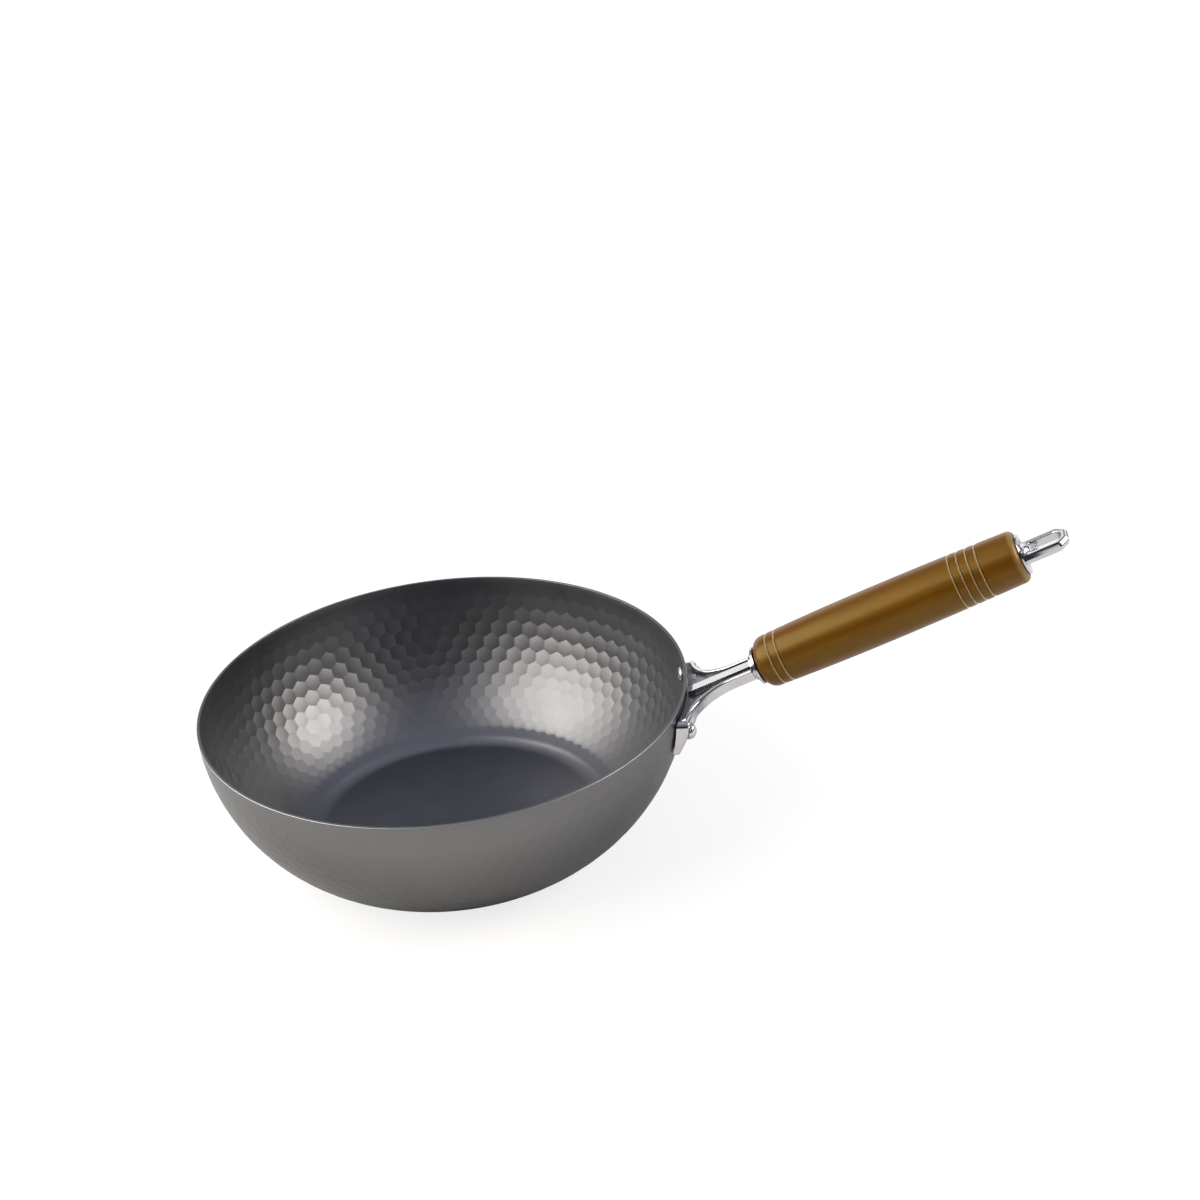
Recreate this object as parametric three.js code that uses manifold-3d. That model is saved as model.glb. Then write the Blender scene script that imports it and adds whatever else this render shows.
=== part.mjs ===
// Iron stir-fry pan: a pressed sheet-iron bowl, a chromed bracket riveted to its wall,
// and a turned wooden grip drawn up on a tie rod between a front ferrule and a hanging eye.
// Millimetres, +Z up. The origin is the centre of the base's underside; the handle points along +X.
import * as THREE from 'three';
import { mergeVertices } from 'three/addons/utils/BufferGeometryUtils.js';
import Module from 'manifold-3d';

const wasm = await Module();
wasm.setup();

// Bowl
const RIM_RADIUS = 140;
const PAN_HEIGHT = 90;
const BASE_RADIUS = 88.5;
const RIM_SLOPE_DEG = 89;
const BASE_CORNER_RADIUS = 6;
const SHEET = 1.6;

// Gap kept between pieces that touch, and the extra room round a shank in its hole
const SEAT_GAP = 0.3;
const HOLE_CLEARANCE = 0.3;

// Where the handle leaves the wall, and how it rises
const HANDLE_DROP = 7.5;
const HANDLE_RISE_DEG = 23.8;

// Bracket: base plate on the wall
const PLATE_TOP_DROP = 5;
const PLATE_BREAK_DROP = 11.7;
const PLATE_HEIGHT = 19.5;
const PLATE_TOP_THICKNESS = 7.2;
const PLATE_FOOT_THICKNESS = 4.2;
const EAR_MARGIN = 6;

// Bracket: neck, arms, rib and collar
const NECK_LENGTH = 44.2;
const NECK_WIDTH = 18.4;
const NECK_TOP = 3.3;
const NECK_BOTTOM = -3;
const ARM_FILLET_RADIUS = 27;
const SIDE_WALL = 2.6;
const RIB_WIDTH = 6.4;
const GROOVE_DEPTH = 2.7;
const COLLAR_DIAMETER = 15;
const COLLAR_THICKNESS = 1.8;

// Rivets
const RIVET_SPREAD = 30;
const RIVET_DROP = 10.8;
const RIVET_SHANK = 5;
const RIVET_HEAD = 8.8;
const RIVET_DOME = 3;
const RIVET_INNER_DOME = 1.7;
const RIVET_BOSS_RIM = 0.5;
const RIVET_BOSS_RISE = 0.3;

// Ferrule and grip
const FERRULE_DIAMETER = 21.8;
const FERRULE_THICKNESS = 1.6;
const FERRULE_EDGE = 0.5;
const GRIP_LENGTH = 157.2;
const GRIP_FRONT_DIAMETER = 29.2;
const GRIP_BELLY_DIAMETER = 32;
const GRIP_REAR_DIAMETER = 29.6;
const GRIP_BELLY_AT = 68;
const GRIP_FRONT_ROUND = 7;
const GRIP_REAR_ROUND = 3.5;
const RING_WIDTH = 1.1;
const RING_DEPTH = 0.6;
const RING_PITCH = 5.2;
const FRONT_RING_AT = 10.2;
const FRONT_RINGS = 2;
const REAR_RING_FROM_END = 21.2;
const REAR_RINGS = 4;

// Tie rod and its nut
const ROD_DIAMETER = 4;
const ROD_SOCKET_DEPTH = 8;
const ROD_BEYOND_NUT = 1;
const GRIP_BORE_CLEARANCE = 0.5;
const NUT_ACROSS_FLATS = 7;
const NUT_HEIGHT = 3.2;

// Hanging eye
const EYE_LENGTH = 26.7;
const EYE_WIDTH = 18.6;
const EYE_THICKNESS = 5.6;
const EYE_CHAMFER = 4.5;
const EYE_STRIP = 3.7;
const SLOT_START = 4.6;
const EYE_FOOT_DIAMETER = 23;
const EYE_FOOT_EDGE = 1.1;
const EYE_FLARE_LENGTH = 6;
const EYE_FLARE_RADIUS = 3.5;

// Facets
const BOWL_FACETS = 72;
const WALL_STEPS = 12;
const CORNER_STEPS = 3;
const TURNED_FACETS = 36;
const SMALL_FACETS = 24;
const ROUND_STEPS = 5;

const radians = THREE.MathUtils.degToRad;
const point = (r, z) => new THREE.Vector2(r, z);

// Mesh and solid helpers

// The bare mesh of a geometry: shared corners merged and collapsed triangles dropped.
function bareMesh(geometry) {
  const bare = geometry.clone();
  bare.deleteAttribute('normal');
  bare.deleteAttribute('uv');
  const merged = mergeVertices(bare, 1e-4);
  const index = merged.index.array;
  const triangles = [];
  for (let i = 0; i < index.length; i += 3) {
    const [a, b, c] = [index[i], index[i + 1], index[i + 2]];
    if (a !== b && b !== c && c !== a) triangles.push(a, b, c);
  }
  return { positions: Float32Array.from(merged.attributes.position.array), triangles };
}

// Six times the volume that the triangles enclose, negative when their faces point inwards.
function signedVolume({ positions, triangles }) {
  const corner = (i) => new THREE.Vector3().fromArray(positions, 3 * i);
  let sum = 0;
  for (let i = 0; i < triangles.length; i += 3) {
    const [a, b, c] = [corner(triangles[i]), corner(triangles[i + 1]), corner(triangles[i + 2])];
    sum += a.dot(b.cross(c));
  }
  return sum;
}

// A solid from a closed geometry, moved by an optional matrix, with its faces pointing out.
function solid(geometry, matrix = new THREE.Matrix4()) {
  const mesh = bareMesh(geometry.clone().applyMatrix4(matrix));
  if (signedVolume(mesh) < 0) mesh.triangles.reverse();
  const triVerts = Uint32Array.from(mesh.triangles);
  return new wasm.Manifold(new wasm.Mesh({ numProp: 3, vertProperties: mesh.positions, triVerts }));
}

function geometryOf(body) {
  const mesh = body.getMesh();
  const geometry = new THREE.BufferGeometry();
  geometry.setAttribute('position', new THREE.BufferAttribute(mesh.vertProperties, mesh.numProp));
  geometry.setIndex(new THREE.BufferAttribute(mesh.triVerts, 1));
  geometry.computeVertexNormals();
  return geometry;
}

function piece(name, body, material) {
  const mesh = new THREE.Mesh(geometryOf(body), new THREE.MeshStandardMaterial(material));
  mesh.name = name;
  return mesh;
}

// A profile of (radius, height) points turned about +Z.
function turnedZ(profile, facets) {
  return new THREE.LatheGeometry(profile, facets).rotateX(Math.PI / 2);
}

// A profile of (radius, station) points turned about +X.
function turnedX(profile, facets) {
  return new THREE.LatheGeometry(profile, facets).rotateZ(-Math.PI / 2);
}

// A round bar about +X from one station to another.
function barX(radius, start, end, facets = SMALL_FACETS) {
  return turnedX([point(0, start), point(radius, start), point(radius, end), point(0, end)], facets);
}

// Points on an arc about a centre, with angles from the -Z direction towards +R.
function arc(centreR, centreZ, radius, from, to, steps) {
  const points = [];
  for (let i = 0; i <= steps; i += 1) {
    const angle = from + ((to - from) * i) / steps;
    points.push(point(centreR + radius * Math.sin(angle), centreZ - radius * Math.cos(angle)));
  }
  return points;
}

// Wall of the bowl: one arc from the base to the rim, with a small arc at the base's corner
const rimSlope = radians(RIM_SLOPE_DEG);
const chordSlope = Math.atan2(PAN_HEIGHT, RIM_RADIUS - BASE_RADIUS);
const footSlope = 2 * chordSlope - rimSlope;
const wallRadius = (RIM_RADIUS - BASE_RADIUS) / (Math.sin(rimSlope) - Math.sin(footSlope));
const wallCentreR = BASE_RADIUS - wallRadius * Math.sin(footSlope);
const wallCentreZ = wallRadius * Math.cos(footSlope);
const cornerFall = wallCentreZ - BASE_CORNER_RADIUS;
const cornerReach = Math.sqrt((wallRadius - BASE_CORNER_RADIUS) ** 2 - cornerFall ** 2);
const cornerCentreR = wallCentreR + cornerReach;
const cornerSlope = Math.atan2(cornerReach, cornerFall);

// The outside of the bowl from the base's corner to the rim, shifted outwards by a distance.
function wallProfile(shift) {
  const cornerRadius = BASE_CORNER_RADIUS + shift;
  const corner = arc(cornerCentreR, BASE_CORNER_RADIUS, cornerRadius, 0, cornerSlope, CORNER_STEPS);
  const wall = arc(wallCentreR, wallCentreZ, wallRadius + shift, cornerSlope, rimSlope, WALL_STEPS);
  return [...corner, ...wall.slice(1)];
}

// The slope of the wall at a height, and its outside radius there.
function wallSlopeAt(z) {
  return Math.acos((wallCentreZ - z) / wallRadius);
}

function wallRadiusAt(z) {
  return wallCentreR + wallRadius * Math.sin(wallSlopeAt(z));
}

// Handle frame: X out along the handle from the wall, Z square to it
const handleZ = PAN_HEIGHT - HANDLE_DROP;
const handle = new THREE.Group();
handle.position.set(wallRadiusAt(handleZ), 0, handleZ);
handle.rotation.y = -radians(HANDLE_RISE_DEG);
handle.updateMatrix();

// Stations along the handle
const ferruleStart = NECK_LENGTH + SEAT_GAP;
const gripStart = ferruleStart + FERRULE_THICKNESS + SEAT_GAP;
const eyeStart = gripStart + GRIP_LENGTH + SEAT_GAP;
const nutStart = eyeStart + SLOT_START + SEAT_GAP;
const rodHole = ROD_DIAMETER / 2 + HOLE_CLEARANCE;

// Rivet frames: X out along the wall's normal from its outside
const rivetZ = PAN_HEIGHT - RIVET_DROP;
const rivetAngle = Math.asin(RIVET_SPREAD / wallRadiusAt(rivetZ));
const rivetSeat = PLATE_TOP_THICKNESS + RIVET_BOSS_RISE;
const rivetHole = RIVET_SHANK / 2 + HOLE_CLEARANCE;
const rivetBoss = RIVET_HEAD / 2 + RIVET_BOSS_RIM;

function rivetFrame(side) {
  const frame = new THREE.Group();
  frame.rotation.z = side * rivetAngle;
  const tilt = new THREE.Group();
  tilt.position.set(wallRadiusAt(rivetZ), 0, rivetZ);
  tilt.rotation.y = Math.PI / 2 - wallSlopeAt(rivetZ);
  frame.add(tilt);
  frame.updateMatrixWorld(true);
  return { frame, tilt };
}

const rivetFrames = { rivet_left: rivetFrame(1), rivet_right: rivetFrame(-1) };

// A solid repeated in both rivet frames and joined.
function atRivets(geometry) {
  const solids = Object.values(rivetFrames).map(({ tilt }) => solid(geometry, tilt.matrixWorld));
  return solids[0].add(solids[1]);
}

// Pan body
function panBody() {
  const outside = wallProfile(0);
  const inside = wallProfile(-SHEET).reverse();
  const profile = [point(0, 0), ...outside, ...inside, point(0, SHEET)];
  const bowl = solid(turnedZ(profile, BOWL_FACETS));
  return bowl.subtract(atRivets(barX(rivetHole, -2 * PLATE_TOP_THICKNESS, PLATE_TOP_THICKNESS)));
}

// Room that the bracket leaves for the bowl: the bowl filled in, grown by the seat gap, up past the rim.
function bowlRoom() {
  const outside = wallProfile(SEAT_GAP);
  const rim = outside[outside.length - 1];
  const above = rim.y + PLATE_HEIGHT;
  const profile = [point(0, -SEAT_GAP), ...outside, point(rim.x, above), point(0, above)];
  return solid(turnedZ(profile, BOWL_FACETS));
}

// Handle bracket: base plate
const plateTop = PAN_HEIGHT - PLATE_TOP_DROP;
const plateBreak = PAN_HEIGHT - PLATE_BREAK_DROP;
const plateFoot = plateTop - PLATE_HEIGHT;
const plateOuter = wallRadiusAt(plateTop) + PLATE_TOP_THICKNESS;
const plateHalf = RIVET_SPREAD + EAR_MARGIN;

// A ring round the wall, cut to the plate's width between the two ears.
function basePlate() {
  const inner = wallRadiusAt(plateFoot) - SHEET;
  const footOuter = wallRadiusAt(plateFoot) + PLATE_FOOT_THICKNESS;
  const profile = [
    point(inner, plateFoot),
    point(footOuter, plateFoot),
    point(plateOuter, plateBreak),
    point(plateOuter, plateTop),
    point(inner, plateTop),
    point(inner, plateFoot),
  ];
  return solid(turnedZ(profile, BOWL_FACETS)).intersect(plateWidthBlock());
}

// The block in front of the bowl's middle that is as wide as the plate.
function plateWidthBlock() {
  const reach = 2 * plateOuter;
  const block = new THREE.BoxGeometry(reach, 2 * plateHalf, reach);
  return solid(block.translate(reach / 2, 0, plateTop));
}

// Handle bracket: neck and arms, drawn in the handle frame with X along it and Y across
const neckHalf = NECK_WIDTH / 2;
const earX = Math.sqrt(plateOuter ** 2 - plateHalf ** 2);
const armRoot = (earX - handle.position.x) / Math.cos(radians(HANDLE_RISE_DEG));
const filletX = armRoot + ARM_FILLET_RADIUS;
const filletY = neckHalf + ARM_FILLET_RADIUS;
const insideBowl = -wallRadius / 4;

// The neck's outline: along each side of the neck, then round the arm's fillet to the plate.
function neckOutline() {
  const shape = new THREE.Shape();
  shape.moveTo(NECK_LENGTH, -neckHalf);
  shape.lineTo(NECK_LENGTH, neckHalf);
  shape.lineTo(filletX, neckHalf);
  shape.absarc(filletX, filletY, ARM_FILLET_RADIUS, -Math.PI / 2, -Math.PI, true);
  shape.lineTo(insideBowl, filletY);
  shape.lineTo(insideBowl, -filletY);
  shape.lineTo(armRoot, -filletY);
  shape.absarc(filletX, -filletY, ARM_FILLET_RADIUS, Math.PI, Math.PI / 2, true);
  shape.lineTo(NECK_LENGTH, -neckHalf);
  return shape;
}

// The groove beside the rib on one side, which opens into the pocket inside the arm.
function grooveOutline(side) {
  const grooveEnd = NECK_LENGTH - COLLAR_THICKNESS;
  const inner = RIB_WIDTH / 2;
  const outer = neckHalf - SIDE_WALL;
  const radius = ARM_FILLET_RADIUS + SIDE_WALL;
  const pocketEnd = Math.PI / 2 + Math.acos((filletY - plateHalf + SIDE_WALL) / radius);
  const curve = new THREE.Path();
  curve.absarc(filletX, filletY, radius, -Math.PI / 2, -pocketEnd, true);
  const corners = [point(grooveEnd, inner), point(grooveEnd, outer), ...curve.getPoints(2 * ROUND_STEPS)];
  const last = corners[corners.length - 1];
  corners.push(point(insideBowl, last.y), point(insideBowl, inner));
  return new THREE.Shape(corners.map((corner) => point(corner.x, side * corner.y)));
}

function slab(shape, bottom, top) {
  const options = { depth: top - bottom, bevelEnabled: false, curveSegments: 2 * ROUND_STEPS };
  return new THREE.ExtrudeGeometry(shape, options).translate(0, 0, bottom);
}

function handleBracket() {
  const place = handle.matrix;
  const grooveFloor = NECK_TOP - GROOVE_DEPTH;
  let neck = solid(slab(neckOutline(), NECK_BOTTOM, NECK_TOP), place);
  for (const side of [1, -1]) {
    neck = neck.subtract(solid(slab(grooveOutline(side), grooveFloor, NECK_TOP + GROOVE_DEPTH), place));
  }
  neck = neck.intersect(plateWidthBlock());
  const collarStart = NECK_LENGTH - COLLAR_THICKNESS;
  const collar = solid(barX(COLLAR_DIAMETER / 2, collarStart, NECK_LENGTH), place);
  const bosses = atRivets(barX(rivetBoss, 0, rivetSeat));
  const headRoom = atRivets(barX(rivetBoss, rivetSeat, rivetSeat + 2 * RIVET_DOME));
  const holes = atRivets(barX(rivetHole, -SHEET, rivetSeat + RIVET_DOME));
  const socket = solid(barX(rodHole, NECK_LENGTH - ROD_SOCKET_DEPTH, NECK_LENGTH + SEAT_GAP), place);
  const whole = neck.add(collar).add(basePlate()).add(bosses);
  return whole.subtract(headRoom).subtract(bowlRoom()).subtract(holes).subtract(socket);
}

// Rivet: a low head inside the bowl, a shank and a dome outside
function rivet() {
  const head = RIVET_HEAD / 2;
  const shank = RIVET_SHANK / 2;
  const wallHollow = head ** 2 / (2 * wallRadius) + head ** 2 / (2 * wallRadiusAt(rivetZ));
  const inside = -SHEET - SEAT_GAP - wallHollow;
  const outside = rivetSeat + SEAT_GAP;
  const dome = (height, base, sign) => {
    const points = [];
    for (let i = 0; i <= ROUND_STEPS; i += 1) {
      const angle = (Math.PI / 2) * (i / ROUND_STEPS);
      points.push(point(head * Math.sin(angle), base + sign * height * Math.cos(angle)));
    }
    points[0].x = 0;
    return points;
  };
  const profile = [
    ...dome(RIVET_INNER_DOME, inside, -1),
    point(shank, inside),
    point(shank, outside),
    ...dome(RIVET_DOME, outside, 1).reverse(),
  ];
  return solid(turnedX(profile, SMALL_FACETS));
}

// Front ferrule: a disc with eased edges on the tie rod
function frontFerrule() {
  const rim = FERRULE_DIAMETER / 2;
  const end = ferruleStart + FERRULE_THICKNESS;
  const profile = [
    point(rodHole, ferruleStart),
    point(rim - FERRULE_EDGE, ferruleStart),
    point(rim, ferruleStart + FERRULE_EDGE),
    point(rim, end),
    point(rodHole, end),
    point(rodHole, ferruleStart),
  ];
  return solid(turnedX(profile, TURNED_FACETS));
}

// Wooden grip: radius at a station from its front end, a parabola on each side of the belly.
function gripRadius(station) {
  const belly = GRIP_BELLY_DIAMETER / 2;
  const ahead = station < GRIP_BELLY_AT;
  const end = (ahead ? GRIP_FRONT_DIAMETER : GRIP_REAR_DIAMETER) / 2;
  const span = ahead ? GRIP_BELLY_AT : GRIP_LENGTH - GRIP_BELLY_AT;
  return belly - (belly - end) * ((station - GRIP_BELLY_AT) / span) ** 2;
}

// Stations of the cut rings, from the front.
function ringStations() {
  const front = Array.from({ length: FRONT_RINGS }, (_, i) => FRONT_RING_AT + i * RING_PITCH);
  const rearStart = GRIP_LENGTH - REAR_RING_FROM_END;
  const rear = Array.from({ length: REAR_RINGS }, (_, i) => rearStart - i * RING_PITCH);
  return [...front, ...rear.reverse()];
}

function woodenGrip() {
  const bore = ROD_DIAMETER / 2 + GRIP_BORE_CLEARANCE;
  const front = gripRadius(GRIP_FRONT_ROUND) - GRIP_FRONT_ROUND;
  const rear = gripRadius(GRIP_LENGTH - GRIP_REAR_ROUND) - GRIP_REAR_ROUND;
  const half = Math.PI / 2;
  const nose = arc(front, GRIP_FRONT_ROUND, GRIP_FRONT_ROUND, 0, half, ROUND_STEPS);
  const tail = arc(rear, GRIP_LENGTH - GRIP_REAR_ROUND, GRIP_REAR_ROUND, half, 2 * half, ROUND_STEPS);
  const side = [];
  for (const station of ringStations()) {
    side.push(point(gripRadius(station - RING_WIDTH / 2), station - RING_WIDTH / 2));
    side.push(point(gripRadius(station) - RING_DEPTH, station));
    side.push(point(gripRadius(station + RING_WIDTH / 2), station + RING_WIDTH / 2));
  }
  const lastFront = side[3 * FRONT_RINGS - 1].y;
  const firstRear = side[3 * FRONT_RINGS].y;
  const belly = [];
  for (let i = 1; i < WALL_STEPS; i += 1) {
    const station = lastFront + ((firstRear - lastFront) * i) / WALL_STEPS;
    belly.push(point(gripRadius(station), station));
  }
  side.splice(3 * FRONT_RINGS, 0, ...belly);
  const profile = [point(bore, 0), ...nose, ...side, ...tail, point(bore, GRIP_LENGTH), point(bore, 0)];
  return solid(turnedX(profile, TURNED_FACETS));
}

// Tie rod: from the socket in the neck to just past the nut
function tieRod() {
  const start = NECK_LENGTH - ROD_SOCKET_DEPTH + SEAT_GAP;
  const end = nutStart + NUT_HEIGHT + ROD_BEYOND_NUT;
  return solid(barX(ROD_DIAMETER / 2, start, end));
}

// Hanging eye: a flared foot on the wood, a flat bar, and a slot right through it
function hangingEye() {
  const half = EYE_WIDTH / 2;
  const end = eyeStart + EYE_LENGTH;
  const shape = new THREE.Shape([
    point(eyeStart, -half),
    point(end - EYE_CHAMFER, -half),
    point(end, EYE_CHAMFER - half),
    point(end, half - EYE_CHAMFER),
    point(end - EYE_CHAMFER, half),
    point(eyeStart, half),
  ]);
  const bar = solid(slab(shape, -EYE_THICKNESS / 2, EYE_THICKNESS / 2));
  const foot = EYE_FOOT_DIAMETER / 2;
  const profile = [point(0, eyeStart), point(foot, eyeStart)];
  for (let i = 0; i <= ROUND_STEPS; i += 1) {
    const angle = (Math.PI / 2) * (i / ROUND_STEPS);
    const radius = foot - (foot - EYE_FLARE_RADIUS) * Math.sin(angle);
    const rise = (EYE_FLARE_LENGTH - EYE_FOOT_EDGE) * (1 - Math.cos(angle));
    profile.push(point(radius, eyeStart + EYE_FOOT_EDGE + rise));
  }
  profile.push(point(0, eyeStart + EYE_FLARE_LENGTH));
  const flare = solid(turnedX(profile, TURNED_FACETS));
  const slotHalf = half - EYE_STRIP;
  const slotStart = eyeStart + SLOT_START;
  const slotRoundX = end - EYE_STRIP - slotHalf;
  const slot = new THREE.Shape();
  slot.moveTo(slotStart, slotHalf);
  slot.lineTo(slotStart, -slotHalf);
  slot.lineTo(slotRoundX, -slotHalf);
  slot.absarc(slotRoundX, 0, slotHalf, -Math.PI / 2, Math.PI / 2, false);
  slot.lineTo(slotStart, slotHalf);
  const slotCut = solid(slab(slot, -EYE_FOOT_DIAMETER, EYE_FOOT_DIAMETER));
  const hole = solid(barX(rodHole, eyeStart - SEAT_GAP, slotStart + SEAT_GAP));
  return bar.add(flare).subtract(slotCut).subtract(hole);
}

// Nut on the rod's end, against the inner end of the slot
function tieRodNut() {
  const corner = NUT_ACROSS_FLATS / Math.sqrt(3);
  const turn = Math.PI / 6;
  const hexagon = Array.from({ length: 6 }, (_, i) => {
    const angle = turn + (i * Math.PI) / 3;
    return point(corner * Math.cos(angle), corner * Math.sin(angle));
  });
  const shape = new THREE.Shape(hexagon);
  const nut = slab(shape, 0, NUT_HEIGHT).rotateY(Math.PI / 2).translate(nutStart, 0, 0);
  const hole = barX(rodHole, nutStart - SEAT_GAP, nutStart + NUT_HEIGHT + SEAT_GAP);
  return solid(nut).subtract(solid(hole));
}

// Finishes
const ironFinish = { color: 0x4f5157, roughness: 0.5, metalness: 0.9 };
const chromeFinish = { color: 0xd8d9dc, roughness: 0.12, metalness: 1 };
const steelFinish = { color: 0xb9bbbd, roughness: 0.3, metalness: 1 };
const woodFinish = { color: 0x7a4a12, roughness: 0.4, metalness: 0 };

// Assembly
const pan = new THREE.Group();
pan.add(piece('pan_body', panBody(), ironFinish));
pan.add(piece('handle_bracket', handleBracket(), chromeFinish));
for (const [name, { frame, tilt }] of Object.entries(rivetFrames)) {
  tilt.add(piece(name, rivet(), steelFinish));
  pan.add(frame);
}
const grip = piece('wooden_grip', woodenGrip(), woodFinish);
grip.position.x = gripStart;
handle.add(piece('front_ferrule', frontFerrule(), chromeFinish));
handle.add(grip);
handle.add(piece('tie_rod', tieRod(), steelFinish));
handle.add(piece('hanging_eye', hangingEye(), chromeFinish));
handle.add(piece('tie_rod_nut', tieRodNut(), steelFinish));
pan.add(handle);

export default pan;
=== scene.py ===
# %% [markdown]
# # An iron frying pan, dressed for its picture
# A real pan like this is pressed from one sheet of iron, with a honeycomb of small pillows rolled
# into its wall. A chromed bracket is riveted to the wall below the rim, and a turned wooden grip is
# drawn up between a ferrule and a hanging eye by a rod down its middle. The solids of every piece
# are loaded first and never moved. Each one is then given a finer mesh and a finish of its own.

# %% Load the fixed frame
import math

import bmesh
import bpy
from mathutils import Matrix, Quaternion, Vector


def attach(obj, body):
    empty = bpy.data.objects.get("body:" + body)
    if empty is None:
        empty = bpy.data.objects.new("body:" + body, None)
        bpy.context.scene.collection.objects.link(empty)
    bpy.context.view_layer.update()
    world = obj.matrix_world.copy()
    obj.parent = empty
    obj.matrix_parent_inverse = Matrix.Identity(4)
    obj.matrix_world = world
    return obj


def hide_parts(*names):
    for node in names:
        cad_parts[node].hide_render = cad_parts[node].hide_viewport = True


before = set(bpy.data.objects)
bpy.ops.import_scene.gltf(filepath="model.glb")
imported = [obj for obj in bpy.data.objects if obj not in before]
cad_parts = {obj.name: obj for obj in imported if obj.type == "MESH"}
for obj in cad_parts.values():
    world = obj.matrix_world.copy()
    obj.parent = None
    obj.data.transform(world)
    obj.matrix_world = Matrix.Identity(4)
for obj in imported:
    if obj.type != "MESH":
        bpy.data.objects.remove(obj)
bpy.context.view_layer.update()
print("nodes in the frame:", ", ".join(sorted(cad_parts)))

# %% [markdown]
# ## The camera
# The photograph was taken a little above the pan, from the front and slightly to the right, with a
# long lens and the camera leaning a few degrees. A camera can be aimed with a constraint, but a
# direction turned into a rotation, and then rolled about its own axis, needs nothing extra.

# %% Camera at the photograph's viewpoint
CAMERA_PLACE = Vector((0.24832, -1.10188, 0.73358))
CAMERA_TARGET = Vector((0.095589, 0.0, 0.145394))
CAMERA_ROLL = math.radians(-5.541)
LENS_MM = 68.134
SENSOR_MM = 36.0

camera_data = bpy.data.cameras.new("photo_camera")
camera_data.lens = LENS_MM
camera_data.sensor_width = SENSOR_MM
camera = bpy.data.objects.new("photo_camera", camera_data)
bpy.context.collection.objects.link(camera)
aim = (CAMERA_TARGET - CAMERA_PLACE).to_track_quat("-Z", "Y")
camera.location = CAMERA_PLACE
camera.rotation_euler = (aim @ Quaternion((0.0, 0.0, 1.0), CAMERA_ROLL)).to_euler()
bpy.context.scene.camera = camera
print("camera is", round((CAMERA_TARGET - CAMERA_PLACE).length, 3), "m from what it looks at")

# %% [markdown]
# ## From a bmesh to a finished piece
# Every piece ends in the same way: corners that lie together are merged, the faces are turned to
# point outwards, and the mesh becomes an object that rides on the pan and hides the solid it
# stands for. The sizes of all pieces are in millimetres, as on a workshop drawing, and one matrix
# brings them to metres.

# %% Helpers that end every piece
MM = 0.001
MERGE_MM = 0.002
to_metres = Matrix.Scale(MM, 4)


def close_up(bm):
    bmesh.ops.remove_doubles(bm, verts=bm.verts[:], dist=MERGE_MM)
    bmesh.ops.recalc_face_normals(bm, faces=bm.faces[:])
    for face in bm.faces:
        face.smooth = True


def loose_edges(bm):
    return sum(not edge.is_manifold for edge in bm.edges)


def object_from(bm, name, place):
    bmesh.ops.transform(bm, matrix=place, verts=bm.verts[:])
    mesh = bpy.data.meshes.new(name)
    bm.to_mesh(mesh)
    bm.free()
    made = bpy.data.objects.new(name, mesh)
    bpy.context.collection.objects.link(made)
    return made


def dress(made, node, material):
    made.data.materials.clear()
    made.data.materials.append(material)
    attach(made, "root")
    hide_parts(node)
    triangles = sum(len(polygon.vertices) - 2 for polygon in made.data.polygons)
    size = [round(side / MM, 1) for side in made.dimensions]
    print(made.name, "for", node, "-", triangles, "triangles,", size, "mm")


print("corners within", MERGE_MM, "mm of each other are merged")

# %% [markdown]
# ## Finishes: effects that several materials share
# No metal or wood is one even colour. A soft cloudiness and a very fine grain are found on all of
# them, at different sizes, so each of the two is made once as a node group and placed in every
# material with its own numbers. Both read Object coordinates, so they stay put on the piece.

# %% Node helpers
def add_node(tree, kind, **settings):
    node = tree.nodes.new(kind)
    for name, value in settings.items():
        setattr(node, name, value)
    return node


def set_inputs(node, **values):
    for name, value in values.items():
        node.inputs[name.replace("_", " ")].default_value = value
    return node


def new_group(name, numbers, output):
    group = bpy.data.node_groups.new(name, "ShaderNodeTree")
    group.interface.new_socket("Vector", in_out="INPUT", socket_type="NodeSocketVector")
    for label in numbers:
        group.interface.new_socket(label, in_out="INPUT", socket_type="NodeSocketFloat")
    group.interface.new_socket(output, in_out="OUTPUT", socket_type="NodeSocketFloat")
    return group, group.nodes.new("NodeGroupInput"), group.nodes.new("NodeGroupOutput")


print("a group takes a vector and some numbers, and puts out one number")


# %% The two shared groups
def make_cloudiness():
    group, start, end = new_group("cloudiness", ("Scale", "Lowest", "Highest"), "Amount")
    noise = set_inputs(add_node(group, "ShaderNodeTexNoise"), Detail=4.0, Roughness=0.55)
    spread = set_inputs(add_node(group, "ShaderNodeMapRange"), From_Min=0.3, From_Max=0.7)
    group.links.new(start.outputs["Vector"], noise.inputs["Vector"])
    group.links.new(start.outputs["Scale"], noise.inputs["Scale"])
    group.links.new(noise.outputs["Fac"], spread.inputs["Value"])
    group.links.new(start.outputs["Lowest"], spread.inputs["To Min"])
    group.links.new(start.outputs["Highest"], spread.inputs["To Max"])
    group.links.new(spread.outputs["Result"], end.inputs["Amount"])
    return group


def make_fine_grain():
    group, start, end = new_group("fine_grain", ("Scale",), "Height")
    noise = set_inputs(add_node(group, "ShaderNodeTexNoise"), Detail=2.0, Roughness=0.6)
    group.links.new(start.outputs["Vector"], noise.inputs["Vector"])
    group.links.new(start.outputs["Scale"], noise.inputs["Scale"])
    group.links.new(noise.outputs["Fac"], end.inputs["Height"])
    return group


cloudiness = make_cloudiness()
fine_grain = make_fine_grain()
print("shared groups:", cloudiness.name, "and", fine_grain.name)


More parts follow.
